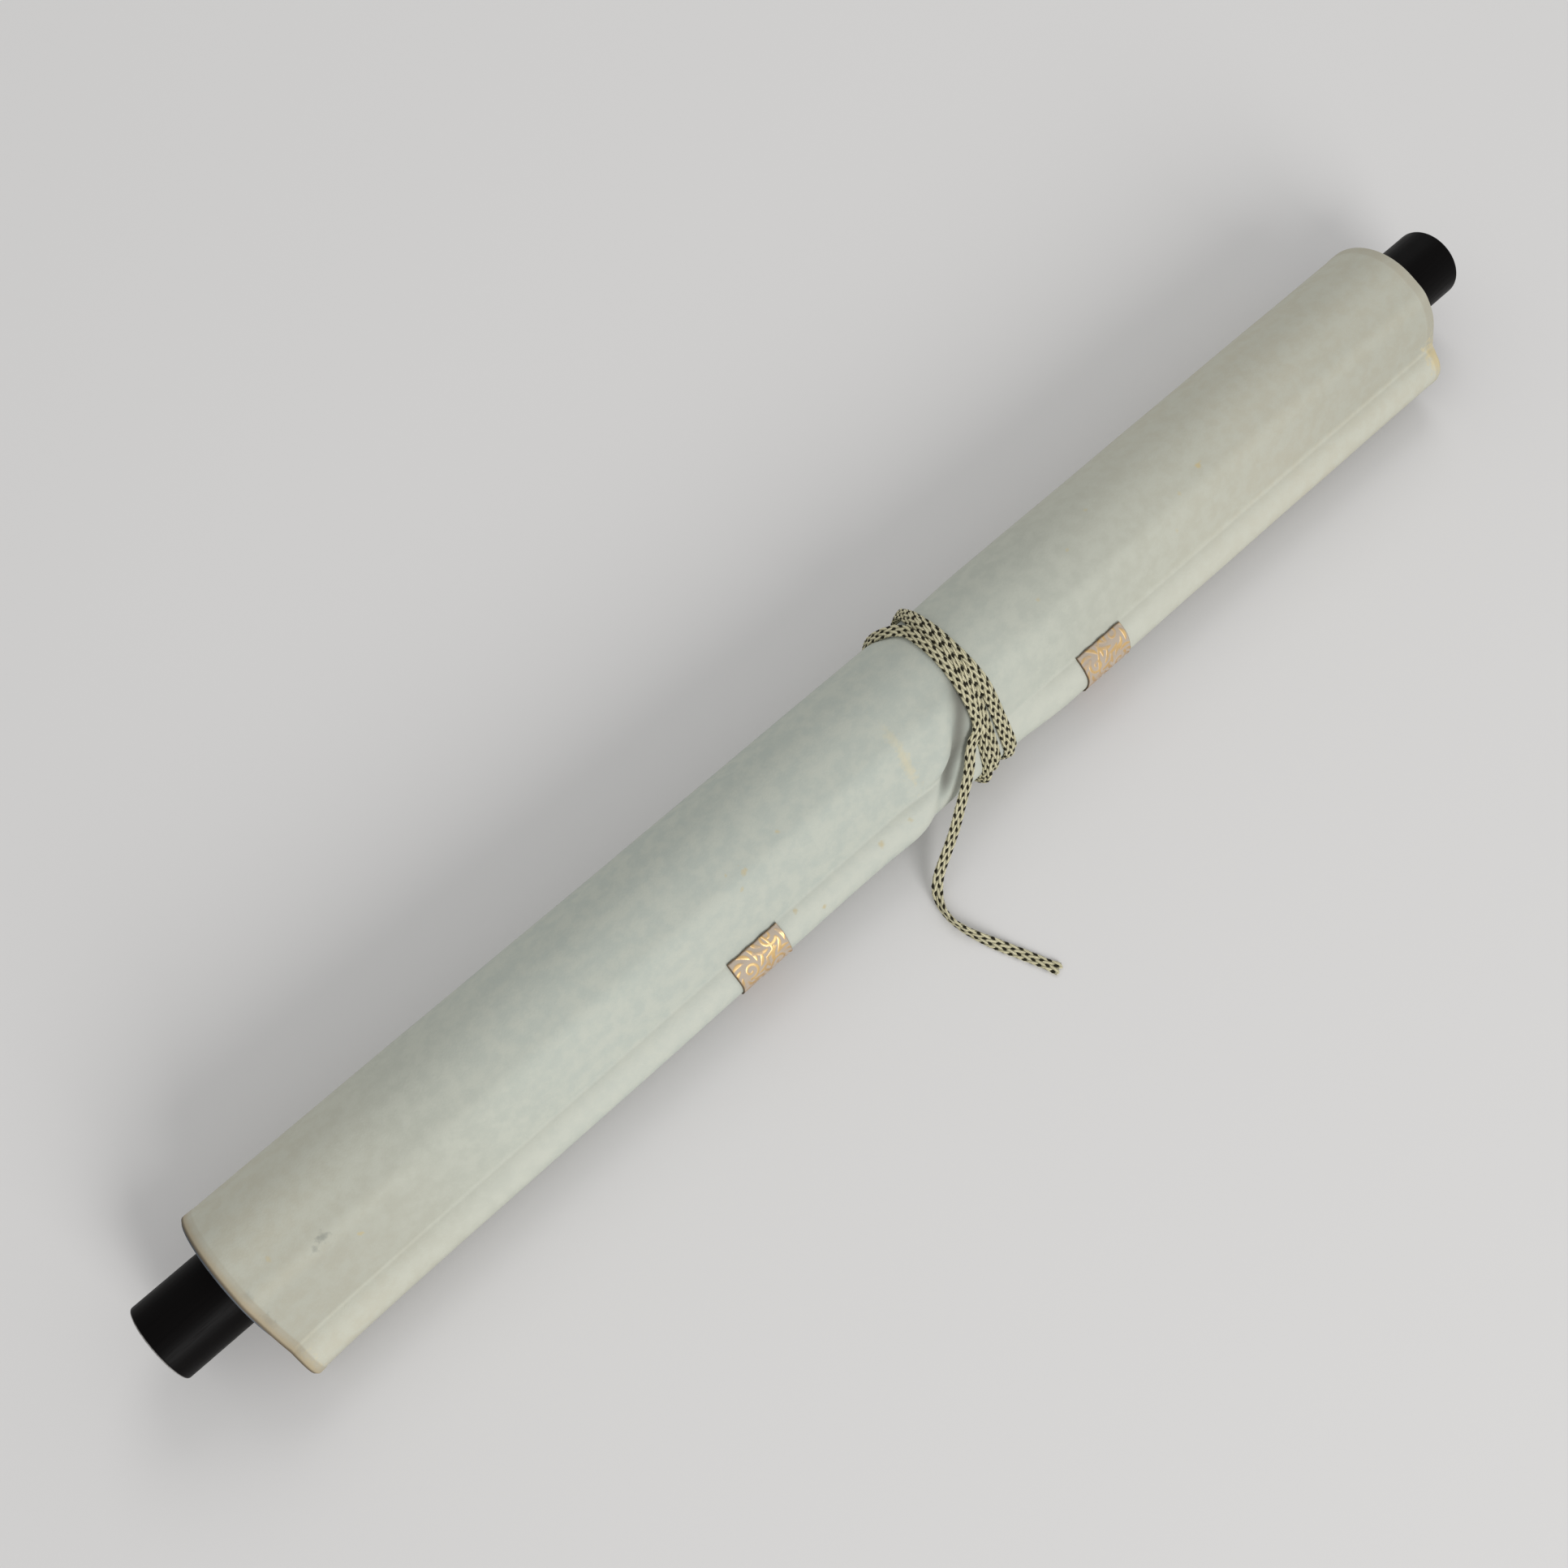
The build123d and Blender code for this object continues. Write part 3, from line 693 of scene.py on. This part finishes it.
def make_strip(name, middle, finish):
    """The strap follows the sheet's centre line at a set distance outside it, from the dip to the flat side.
    Its points carry the gilt mask, which is 1 inside a stroke of the scroll and 0 outside, worked out by
    distance, and their places down and across the strap."""
    rows, columns = 170, 120
    start = sum(r * np.radians(abs(t)) for r, t in sheet_steps[:dip_step + 1])
    v = np.linspace(-0.8, strip_length - 2.0, rows)
    centre, out = along(sheet_steps, (0.0, axis_height + last_radius + pitch), 180.0, start + v)
    u = np.linspace(0, strip_width, columns)
    v2, u2 = np.meshgrid(v, u, indexing="ij")
    strokes = scroll_strokes(0.7 if middle < 0 else 2.9)
    flat = np.stack([u2, v2], -1).reshape(-1, 1, 2)
    gap = np.concatenate([(np.linalg.norm(part - strokes[None, :, :2], axis=-1) - strokes[:, 2]).min(1)
                          for part in np.array_split(flat, 24)]).reshape(u2.shape)
    gilt = 1 - ease(gap, -0.08, 0.16)
    frayed = (0.15 * np.sin(u2 * 0.9 + middle) + 0.05 * np.sin(u2 * 2.9)) * np.exp(-(v2 + 0.8) / 0.5)
    x = middle - strip_width / 2 + u2 + 0.12 * np.sin(v2 / 2.1) * (2 * u2 / strip_width - 1)
    base = centre[:, None, :] + drift(x)[..., None] * drift_way
    side = np.minimum(u2, strip_width - u2)
    lift = 0.42 + 0.10 * gilt + 0.25 * np.exp(-(v2 + 0.8) / 0.7) + 0.12 * np.exp(-side / 0.4)
    fray = frayed[..., None] * np.array([0.5, 0.6])
    upper = base + out[:, None, :] * (lift + strip_thk)[..., None] + fray
    lower = base + out[:, None, :] * lift[..., None] * 0.95 + fray
    ring = np.concatenate([upper, lower[::-1]])
    points = np.concatenate([np.concatenate([x, x[::-1]])[..., None], ring], -1)
    strip = make_piece(name, points, skin_faces(rows, columns)[0][:, ::-1], [finish], crease=1.0)
    for label, value in (("gilt", gilt), ("down", v2), ("across", u2)):
        mark_points(strip, label, np.concatenate([value, value[::-1]]))
    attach(strip, "root")
    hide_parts(name)
    return strip


def make_brocade():
    """Satin ground with fine ribs, a gilt scroll with a metal sheen that is worn off in places and painted
    browner lower down as painted shade, and dark edges above and at both sides, frayed above and folded in at
    the sides, with painted shade along them."""
    material, tree, shader, place = new_finish("brocade_silk", 0.6)
    gilt = read_mark(tree, "gilt")
    down = read_mark(tree, "down")
    across = read_mark(tree, "across")
    mottle = use(tree, paper_effect, {"Place": place, "Fibre": 2400.0})
    ground = blend_colours(tree, mottle["Mottle"], (0.35, 0.29, 0.225, 1), (0.47, 0.39, 0.31, 1))
    gilt = combine(tree, "MULTIPLY", gilt, rescale(tree, mottle["Mottle"], 0.38, 0.52, 0.35, 1.0))
    gold = blend_colours(tree, mottle["Mottle"], (0.40, 0.23, 0.10, 1), (0.92, 0.65, 0.29, 1))
    # Painted shade: the gilt painted browner lower down, where the strap turns under the stave.
    gold = blend_colours(tree, rescale(tree, down, 7.0, 17.0), gold, (0.40, 0.23, 0.11, 1))
    colour = blend_colours(tree, gilt, ground, gold)
    # Dark edges: frayed and folded-in silk, with painted shade along them.
    tone_and_shade_share = combine(tree, "MAXIMUM", rescale(tree, down, 0.35, -0.45), rescale(tree, across, 0.75, 0.25))
    tone_and_shade_share = combine(tree, "MAXIMUM", tone_and_shade_share, rescale(tree, across, strip_width - 0.3, strip_width, 0.0, 0.5))
    colour = blend_colours(tree, tone_and_shade_share, colour, (0.10, 0.065, 0.03, 1))
    tree.links.new(colour, shader.inputs["Base Color"])
    tree.links.new(rescale(tree, gilt, 0.0, 1.0, 0.0, 0.6), shader.inputs["Metallic"])
    tree.links.new(rescale(tree, gilt, 0.0, 1.0, 0.7, 0.34), shader.inputs["Roughness"])
    rib = combine(tree, "MULTIPLY", down, 28.0)
    height = combine(tree, "SINE", rib)
    bump(tree, shader, height, 0.045, 0.00005)
    return material


brocade = make_brocade()
for strip_name, strip_middle in strip_places.items():
    make_strip(strip_name, strip_middle, brocade)

# Eyelets: two small brass screw rings in the stave's lower edge, each through a thin washer.
# The cord's hidden end is knotted behind the right one.

eyelet_x = 67.0
eyelet_y = -24.73
washer_height = 4.77
ring_height = 2.17
ring_radius = 2.3
ring_wire = 0.55


def make_eyelet(name, x, finish):
    """One closed lathe round Z for shank and washer, and a torus for the ring, in the plane across X."""
    a = np.linspace(0, 2 * np.pi, 40, endpoint=False)
    radius = np.array([0.01, 0.75, 0.8, 0.8, 2.4, 2.6, 2.6, 2.4, 0.01])
    height = washer_height + np.array([6.73, 6.73, 6.43, 0.53, 0.5, 0.38, 0.13, 0.0, 0.0])
    lathe = np.stack([radius[:, None] * np.cos(a), radius[:, None] * np.sin(a), height[:, None] + 0 * a], -1)
    lathe += np.array([x, eyelet_y, 0.0])
    b = np.linspace(0, 2 * np.pi, 20, endpoint=False)
    wide = ring_radius + ring_wire * np.cos(b)
    ring = np.stack([x + ring_wire * np.sin(b) + 0 * a[:, None], eyelet_y + wide * np.cos(a)[:, None],
                     ring_height + wide * np.sin(a)[:, None]], -1)
    ring_faces = grid_faces(len(a), len(b), close_rows=True, close_columns=True)[:, ::-1]
    faces = np.concatenate([grid_faces(len(radius), len(a), close_columns=True),
                            ring_faces + lathe[..., 0].size])
    points = np.concatenate([lathe.reshape(-1, 3), ring.reshape(-1, 3)])
    eyelet = make_piece(name, points, faces[:, ::-1], [finish])
    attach(eyelet, "root")
    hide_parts(name)
    return eyelet


def make_dull_brass():
    """Brass with dark tarnish in patches, rougher where it is tarnished."""
    material, tree, shader, place = new_finish("dull_brass", 0.4)
    tarnish = add(tree, "TexNoise", {"Vector": place, "Scale": 900.0, "Detail": 3.0}).outputs["Fac"]
    colour = blend_colours(tree, tarnish, (0.62, 0.44, 0.19, 1), (0.30, 0.20, 0.09, 1))
    tree.links.new(colour, shader.inputs["Base Color"])
    tree.links.new(rescale(tree, tarnish, 0.3, 0.7, 0.3, 0.55), shader.inputs["Roughness"])
    shader.inputs["Metallic"].default_value = 1.0
    return material


dull_brass = make_dull_brass()
make_eyelet("eyelet_left", -eyelet_x, dull_brass)
make_eyelet("eyelet_right", eyelet_x, dull_brass)

# Cord: one flat braid of cream thread with black flecks, 4.4 mm wide and 1.25 mm thick.
# It comes from the right eyelet under the stave, goes round roll and stave, and its tail lies on the table.

cord_width = 4.4
cord_thk = 1.25
braid_step = 0.55
braid_columns = 8
stitch_step = 2.62
slant = np.radians(14.0)
black_half, cream_half = 1.0, 2.3
black_width, cream_width = 0.50, 0.47
laying = [
    # each turn under the roll, behind it, at its brow, on its top, where the cord leaves it, and on the
    # stave: x, height above the sheet, and the tilt that leaves the left edge lower
    [(38.0, 0.62, 0), (38.0, 0.62, 0), (35.6, 0.62, 0), (35.0, 0.62, 0), (36.8, 0.62, 0), (37.1, 0.62, 0)],
    [(36.6, 0.62, 0), (37.6, 1.1, 5), (34.9, 1.5, 15), (34.0, 1.7, 14), (35.2, 1.6, 18), (34.6, 1.6, 18)],
    [(35.6, 0.62, 0), (37.3, 1.6, 10), (34.2, 2.0, 28), (32.7, 2.1, 32), (30.7, 0.9, 12), (28.7, 0.62, 0)],
    [(34.0, 0.62, 0), (37.0, 2.1, 15), (33.5, 2.2, 34), (31.5, 1.9, 38), (29.1, 1.5, 28), (26.5, 1.5, 16)],
    [(32.0, 0.62, 0), (36.8, 2.5, 20), (32.6, 2.3, 38), (30.2, 1.9, 38), (27.6, 1.7, 50), (22.4, 2.0, 80)],
    [(17.0, 0.62, 0), (21.3, 1.8, 40), (28.6, 2.1, 42), (28.3, 2.0, 42), (27.2, 2.7, 14)],
]
lead_points = [(70.0, -24.73, 2.17), (60.0, -24.73, 2.3), (50.0, -24.73, 2.9), (41.5, -23.6, 3.0)]
tail_points = [
    (21.0, -27.4, 31.5), (16.6, -32.3, 26.9), (12.2, -35.4, 23.3), (6.7, -38.8, 19.0), (0.6, -42.7, 13.8),
    (-6.5, -46.2, 9.2), (-12.4, -49.0, 6.4), (-17.0, -53.0, 4.0), (-19.6, -59.0, 2.6), (-19.6, -65.4, 2.3),
    (-17.3, -72.7, 1.9), (-13.0, -81.8, 1.0), (-8.0, -92.0, 0.8), (-3.6, -102.0, 0.75)]


def belt_places():
    """Control points' places once round roll and stave: tangent-polygon corners of equal arcs, and points on
    the two straights. Each is (middle, radius, direction, stretch, station), or on a straight its name and the
    share of its length first. Stretch is how far the corner stands out from its arc, and station how far
    round it is among the six stations."""
    normal = tied_run(90.0)[1]
    lean_low = 2 * (np.degrees(np.arctan2(*(stave_middle - tied_middle)[::-1])) % 360) - normal
    arc = normal + 360 - lean_low
    places = []
    for i in range(12):
        direction = lean_low + arc * (i + 0.5) / 12
        station = np.interp(direction, [lean_low, 378, 415, 450, 360 + normal], [0, 1, 2, 3, 4])
        places.append((tied_middle, tied_radius, direction, 1 / np.cos(np.radians(arc / 24)), station))
    for share in (0.3, 0.7):
        places.append(("straight", share, normal, 1.0, 4 + 0.6 * share))
    back = lean_low - normal
    for i in range(4):
        direction = normal + back * (i + 0.5) / 4
        places.append((stave_middle, tied_cover, direction, 1 / np.cos(np.radians(back / 8)), 4.7 + 0.15 * i))
    for share in (0.3, 0.7):
        places.append(("straight_back", share, lean_low, 1.0, 5.3 + 0.6 * share))
    return places


def place_on_belt(place, x, height, tilt):
    """The control point of one place at x and that height above the sheet, and its tilted flat's normal."""
    middle, size, direction, stretch = place[:4]
    a = np.radians(direction)
    out = np.array([np.cos(a), np.sin(a)])
    if isinstance(middle, str):
        ends = [tied_middle + out * (tied_radius + height), stave_middle + out * (tied_cover + height)]
        if middle == "straight_back":
            ends.reverse()
        yz = ends[0] + (ends[1] - ends[0]) * size
    else:
        yz = middle + out * (size + height) * stretch
    lean = np.radians(tilt)
    return (x, *yz), (-np.sin(lean), *(out * np.cos(lean)))


def cord_route():
    """Control points of the whole cord with the normal of its flat side at each: lead, turns and tail."""
    places = belt_places()
    points = list(lead_points)
    normals = [(0, 0, -1), (0, 0, -1), (0, -0.2, -1), (0, -0.2, -1)]
    for k, stations in enumerate(laying):
        whole = k < len(laying) - 1
        track = np.array(stations + laying[k + 1][:1] if whole else stations, float)
        for place in places if whole else places[:13]:
            t = place[-1] - np.floor(place[-1])
            at = np.floor(place[-1]) + t * t * (3 - 2 * t)
            x, height, tilt = (np.interp(at, np.arange(len(track)), column) for column in track.T)
            point, out = place_on_belt(place, x, height, tilt)
            points.append(point)
            normals.append(out)
    points += tail_points
    facing = [(-0.2, -0.8, 0.6), (-0.3, -0.8, 0.6), (-0.3, -0.8, 0.5), (-0.25, -0.75, 0.6), (-0.2, -0.7, 0.65),
              (-0.2, -0.65, 0.7), (-0.3, -0.6, 0.7), (-0.6, -0.4, 0.6), (-0.9, 0.1, 0.25), (-0.95, 0.1, 0.1),
              (-0.75, -0.3, 0.45), (-0.2, -0.2, 0.9), (0.0, 0.0, 1.0), (0.0, 0.0, 1.0)]
    normals += facing
    return np.array(points), np.array(normals)


def spline_points(points, per_span=12):
    """Points read from the NURBS line through the route's control points, in mm."""
    curve = bpy.data.curves.new("cord_route", "CURVE")
    curve.dimensions = "3D"
    curve.resolution_u = per_span
    spline = curve.splines.new("NURBS")
    spline.points.add(len(points) - 1)
    for knot, place in zip(spline.points, points):
        knot.co = (*(np.array(place) * MM), 1.0)
    spline.order_u = 3
    spline.use_endpoint_u = True
    guide = bpy.data.objects.new("cord_route", curve)
    mesh = bpy.data.meshes.new_from_object(guide)
    found = np.array([v.co for v in mesh.vertices]) / MM
    bpy.data.objects.remove(guide)
    bpy.data.curves.remove(curve)
    bpy.data.meshes.remove(mesh)
    return found


def cord_frames():
    """Evenly spaced points on the cord's line, with its side and its flat's normal at each.
    The normals of the control points are mixed along the line and squared up to it."""
    points, normals = cord_route()
    line = spline_points(points)
    place = np.linspace(0, len(points) - 2, len(line))
    anchor = np.clip(np.arange(len(points)) - 0.5, 0, len(points) - 2)
    out = np.stack([np.interp(place, anchor, normals[:, i]) for i in range(3)], -1)
    travelled = np.concatenate([[0], np.cumsum(np.linalg.norm(np.diff(line, axis=0), axis=1))])
    at = np.arange(0, travelled[-1], braid_step)
    line = np.stack([np.interp(at, travelled, line[:, i]) for i in range(3)], -1)
    out = np.stack([np.interp(at, travelled, out[:, i]) for i in range(3)], -1)
    soft = np.ones(9) / 9
    out = np.stack([np.convolve(np.pad(out[:, i], 4, "edge"), soft, "valid") for i in range(3)], -1)
    run = np.gradient(line, axis=0)
    run /= np.linalg.norm(run, axis=1, keepdims=True)
    out -= run * (out * run).sum(1, keepdims=True)
    out /= np.linalg.norm(out, axis=1, keepdims=True)
    return line, at, np.cross(run, out), out


def braid_section():
    """Places round the braid's flattened section, by column from 0 to braid_columns: u across, v through,
    and the outward normal. The section is a superellipse, less what the stitches stand out by, and its
    columns are equal shares of its outline."""
    a = np.linspace(0, 2 * np.pi, 721)
    u = (cord_width / 2 - 0.28) * np.sign(np.cos(a)) * abs(np.cos(a)) ** 0.8
    v = (cord_thk / 2 - 0.225) * np.sign(np.sin(a)) * abs(np.sin(a)) ** 0.8
    du, dv = np.gradient(u), np.gradient(v)
    length = np.hypot(du, dv)
    column = braid_columns * np.cumsum(length) / length.sum()
    return column, np.stack([u, v, dv / length, -du / length], -1), length.sum() / braid_columns


def make_cord(name, finish):
    """A core, wrapped in stitches that lie in eight columns round it. A stitch is a slim spindle, slanted
    one way in even columns and the other way in odd ones, with its ends buried. Stitches follow each other
    by stitch_step. Every second one is short and black, by turns in even and in odd columns, which makes
    the cord's flecks; the others are long and cream. All of it is wrapped round the cord's line."""
    line, at, side, out = cord_frames()
    column_at, section, column_width = braid_section()
    spread = 1 + 0.28 * ease(at, at[-1] - 5.0, at[-1])

    def wrapped(s, column, height):
        """Places at length s along the cord, at a column round it, and at a height over its section."""
        u, v, nu, nv = (np.interp(column % braid_columns, column_at, value) for value in section.T)
        frame_at = [[np.interp(s, at, value) for value in vectors.T] for vectors in (line, side, out)]
        place, across, through = (np.stack(vector, -1) for vector in frame_at)
        wide = (u + nu * height) * np.interp(s, at, spread)
        return place + across * wide[..., None] + through * (v + nv * height)[..., None]

    core_at, core_column = np.meshgrid(np.arange(0, at[-1], 1.1), np.arange(0.0, braid_columns, 0.8),
                                       indexing="ij")
    core = wrapped(core_at, core_column, 0.02)
    core_faces = grid_faces(*core_at.shape, close_columns=True)
    ends = [list(range(9, -1, -1)), list(range(core_at.size - 10, core_at.size))]

    column, number, t, ring = np.meshgrid(
        np.arange(braid_columns), np.arange(1, int(at[-1] / stitch_step)), np.array([-1, -0.62, 0, 0.62, 1]),
        np.radians([90, 18, -54, -126, 162]), indexing="ij")
    way = 1 - 2 * (column % 2)
    fleck = (number + column) % 2
    width = np.where(fleck, black_width, cream_width) * np.sqrt(1 - 0.93 * t ** 4) * np.cos(ring)
    s = stitch_step * number + 0.3 * np.sin(3.0 * number + 2.0 * column)
    s = s + np.where(fleck, black_half, cream_half) * t - way * np.sin(slant) * width
    around = column + 0.5 + way * np.where(fleck, 0.24, 0.42) * t + np.cos(slant) * width / column_width
    stitches = wrapped(s, around, 0.13 - 0.2 * t * t + 0.17 * np.sin(ring)).reshape(-1, 5, 5, 3)
    one = grid_faces(5, 5, close_columns=True)
    starts = core_at.size + 25 * np.arange(len(stitches))[:, None, None]
    faces = core_faces.tolist() + ends + (starts + one).reshape(-1, 4).tolist()
    for cap in ([4, 3, 2, 1, 0], [20, 21, 22, 23, 24]):
        faces += (starts[:, 0] + np.array(cap)).tolist()
    mesh = bpy.data.meshes.new(name)
    mesh.from_pydata((np.concatenate([core.reshape(-1, 3), stitches.reshape(-1, 3)]) * MM).tolist(), [], faces)
    mesh.materials.append(finish)
    mesh.shade_smooth()
    cord = bpy.data.objects.new(name, mesh)
    bpy.context.scene.collection.objects.link(cord)
    dark = np.repeat(np.broadcast_to(fleck, s.shape)[:, :, 0, 0].ravel(), 25)
    yarn = (np.cos(ring) * (1 - fleck) * np.ones_like(t)).ravel()
    # Black flecks on the stitches; the core, seen only in the gaps between stitches, gets 0.6 of this mark as
    # painted shade there.
    for label, value, inside in (("fleck_and_gap_shade", dark, 0.6), ("yarn", yarn, 0.0)):
        mark_points(cord, label, np.concatenate([np.full(core_at.size, inside), value]))
    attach(cord, "root")
    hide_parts("cord_lead", "cord_turns", "cord_tail")
    return cord


def make_cord_finish():
    """Cream yarn, painted darker along the grooves between its strands as painted shade, and black flecks, as
    the stitches' marks say; the core, seen between stitches, is painted dark as shade.
    """
    material, tree, shader, place = new_finish("flecked_cord", 0.85)
    shader.inputs["Specular IOR Level"].default_value = 0.25
    # Black flecks, and painted shade on the core in the gaps.
    fleck_and_gap_shade = read_mark(tree, "fleck_and_gap_shade")
    mottle = use(tree, paper_effect, {"Place": place, "Fibre": 5000.0})
    cream = blend_colours(tree, mottle["Mottle"], (0.60, 0.56, 0.355, 1), (0.84, 0.80, 0.575, 1))
    yarn = read_mark(tree, "yarn")
    phase = combine(tree, "MULTIPLY_ADD", yarn, 8.0, 1.6)
    strands = combine(tree, "SINE", phase)
    # Painted shade in the grooves between the strands.
    painted_groove_shade = rescale(tree, strands, 0.1, -0.9, 0.0, 0.6)
    cream = blend_colours(tree, painted_groove_shade, cream, (0.25, 0.19, 0.09, 1))
    dark = blend_colours(tree, mottle["Relief"], (0.006, 0.005, 0.002, 1), (0.022, 0.018, 0.007, 1))
    tree.links.new(blend_colours(tree, fleck_and_gap_shade, cream, dark), shader.inputs["Base Color"])
    bump(tree, shader, strands, 0.5, 0.0001)
    return material


make_cord("cord", make_cord_finish())

# Table, light and camera: a plain pale table, a wide soft lamp on the stave's side and a weaker one behind,
# and an even sky. The camera stands where the photograph was taken from, with the angle of its lens.


def make_table():
    """A plain matt top, far wider than the camera sees."""
    size = 3.0
    mesh = bpy.data.meshes.new("table")
    corners = [(-size, -size, 0), (size, -size, 0), (size, size, 0), (-size, size, 0)]
    mesh.from_pydata(corners, [], [(0, 1, 2, 3)])
    table = bpy.data.objects.new("table", mesh)
    bpy.context.scene.collection.objects.link(table)
    material, _, shader, _ = new_finish("table_top", 0.9)
    shader.inputs["Base Color"].default_value = (0.672, 0.66, 0.649, 1)
    mesh.materials.append(material)


def make_lamp(name, place, aim, size, power):
    """A round soft lamp at a place, turned towards its aim."""
    lamp = bpy.data.lights.new(name, "AREA")
    lamp.shape = "DISK"
    lamp.size = size
    lamp.energy = power
    holder = bpy.data.objects.new(name, lamp)
    holder.location = place
    holder.rotation_euler = (Vector(aim) - Vector(place)).to_track_quat("-Z", "Y").to_euler()
    bpy.context.scene.collection.objects.link(holder)


make_table()
make_lamp("key_lamp", (-0.5, -2.25, 1.2), (0, 0, 0), 1.4, 41.5)
make_lamp("fill_lamp", (1.0, 1.1, 1.6), (0.3, 0.1, 0), 1.2, 8.0)

sky = bpy.data.worlds.new("even_sky")
sky.use_nodes = True
sky.node_tree.nodes["Background"].inputs["Color"].default_value = (0.98, 0.99, 1.0, 1)
sky.node_tree.nodes["Background"].inputs["Strength"].default_value = 0.58
bpy.context.scene.world = sky

camera = bpy.data.objects.new("camera", bpy.data.cameras.new("camera"))
camera.location = (-0.18118, -0.15371, 0.57268)
aim = Vector((0.24896, 0.27292, -0.92926))
camera.rotation_euler = aim.to_track_quat("-Z", "Y").to_euler()
camera.data.sensor_width = 36.0
camera.data.lens = 39.13
camera.data.clip_start = 0.01
bpy.context.scene.collection.objects.link(camera)
bpy.context.scene.camera = camera
bpy.context.scene.view_settings.view_transform = "Standard"
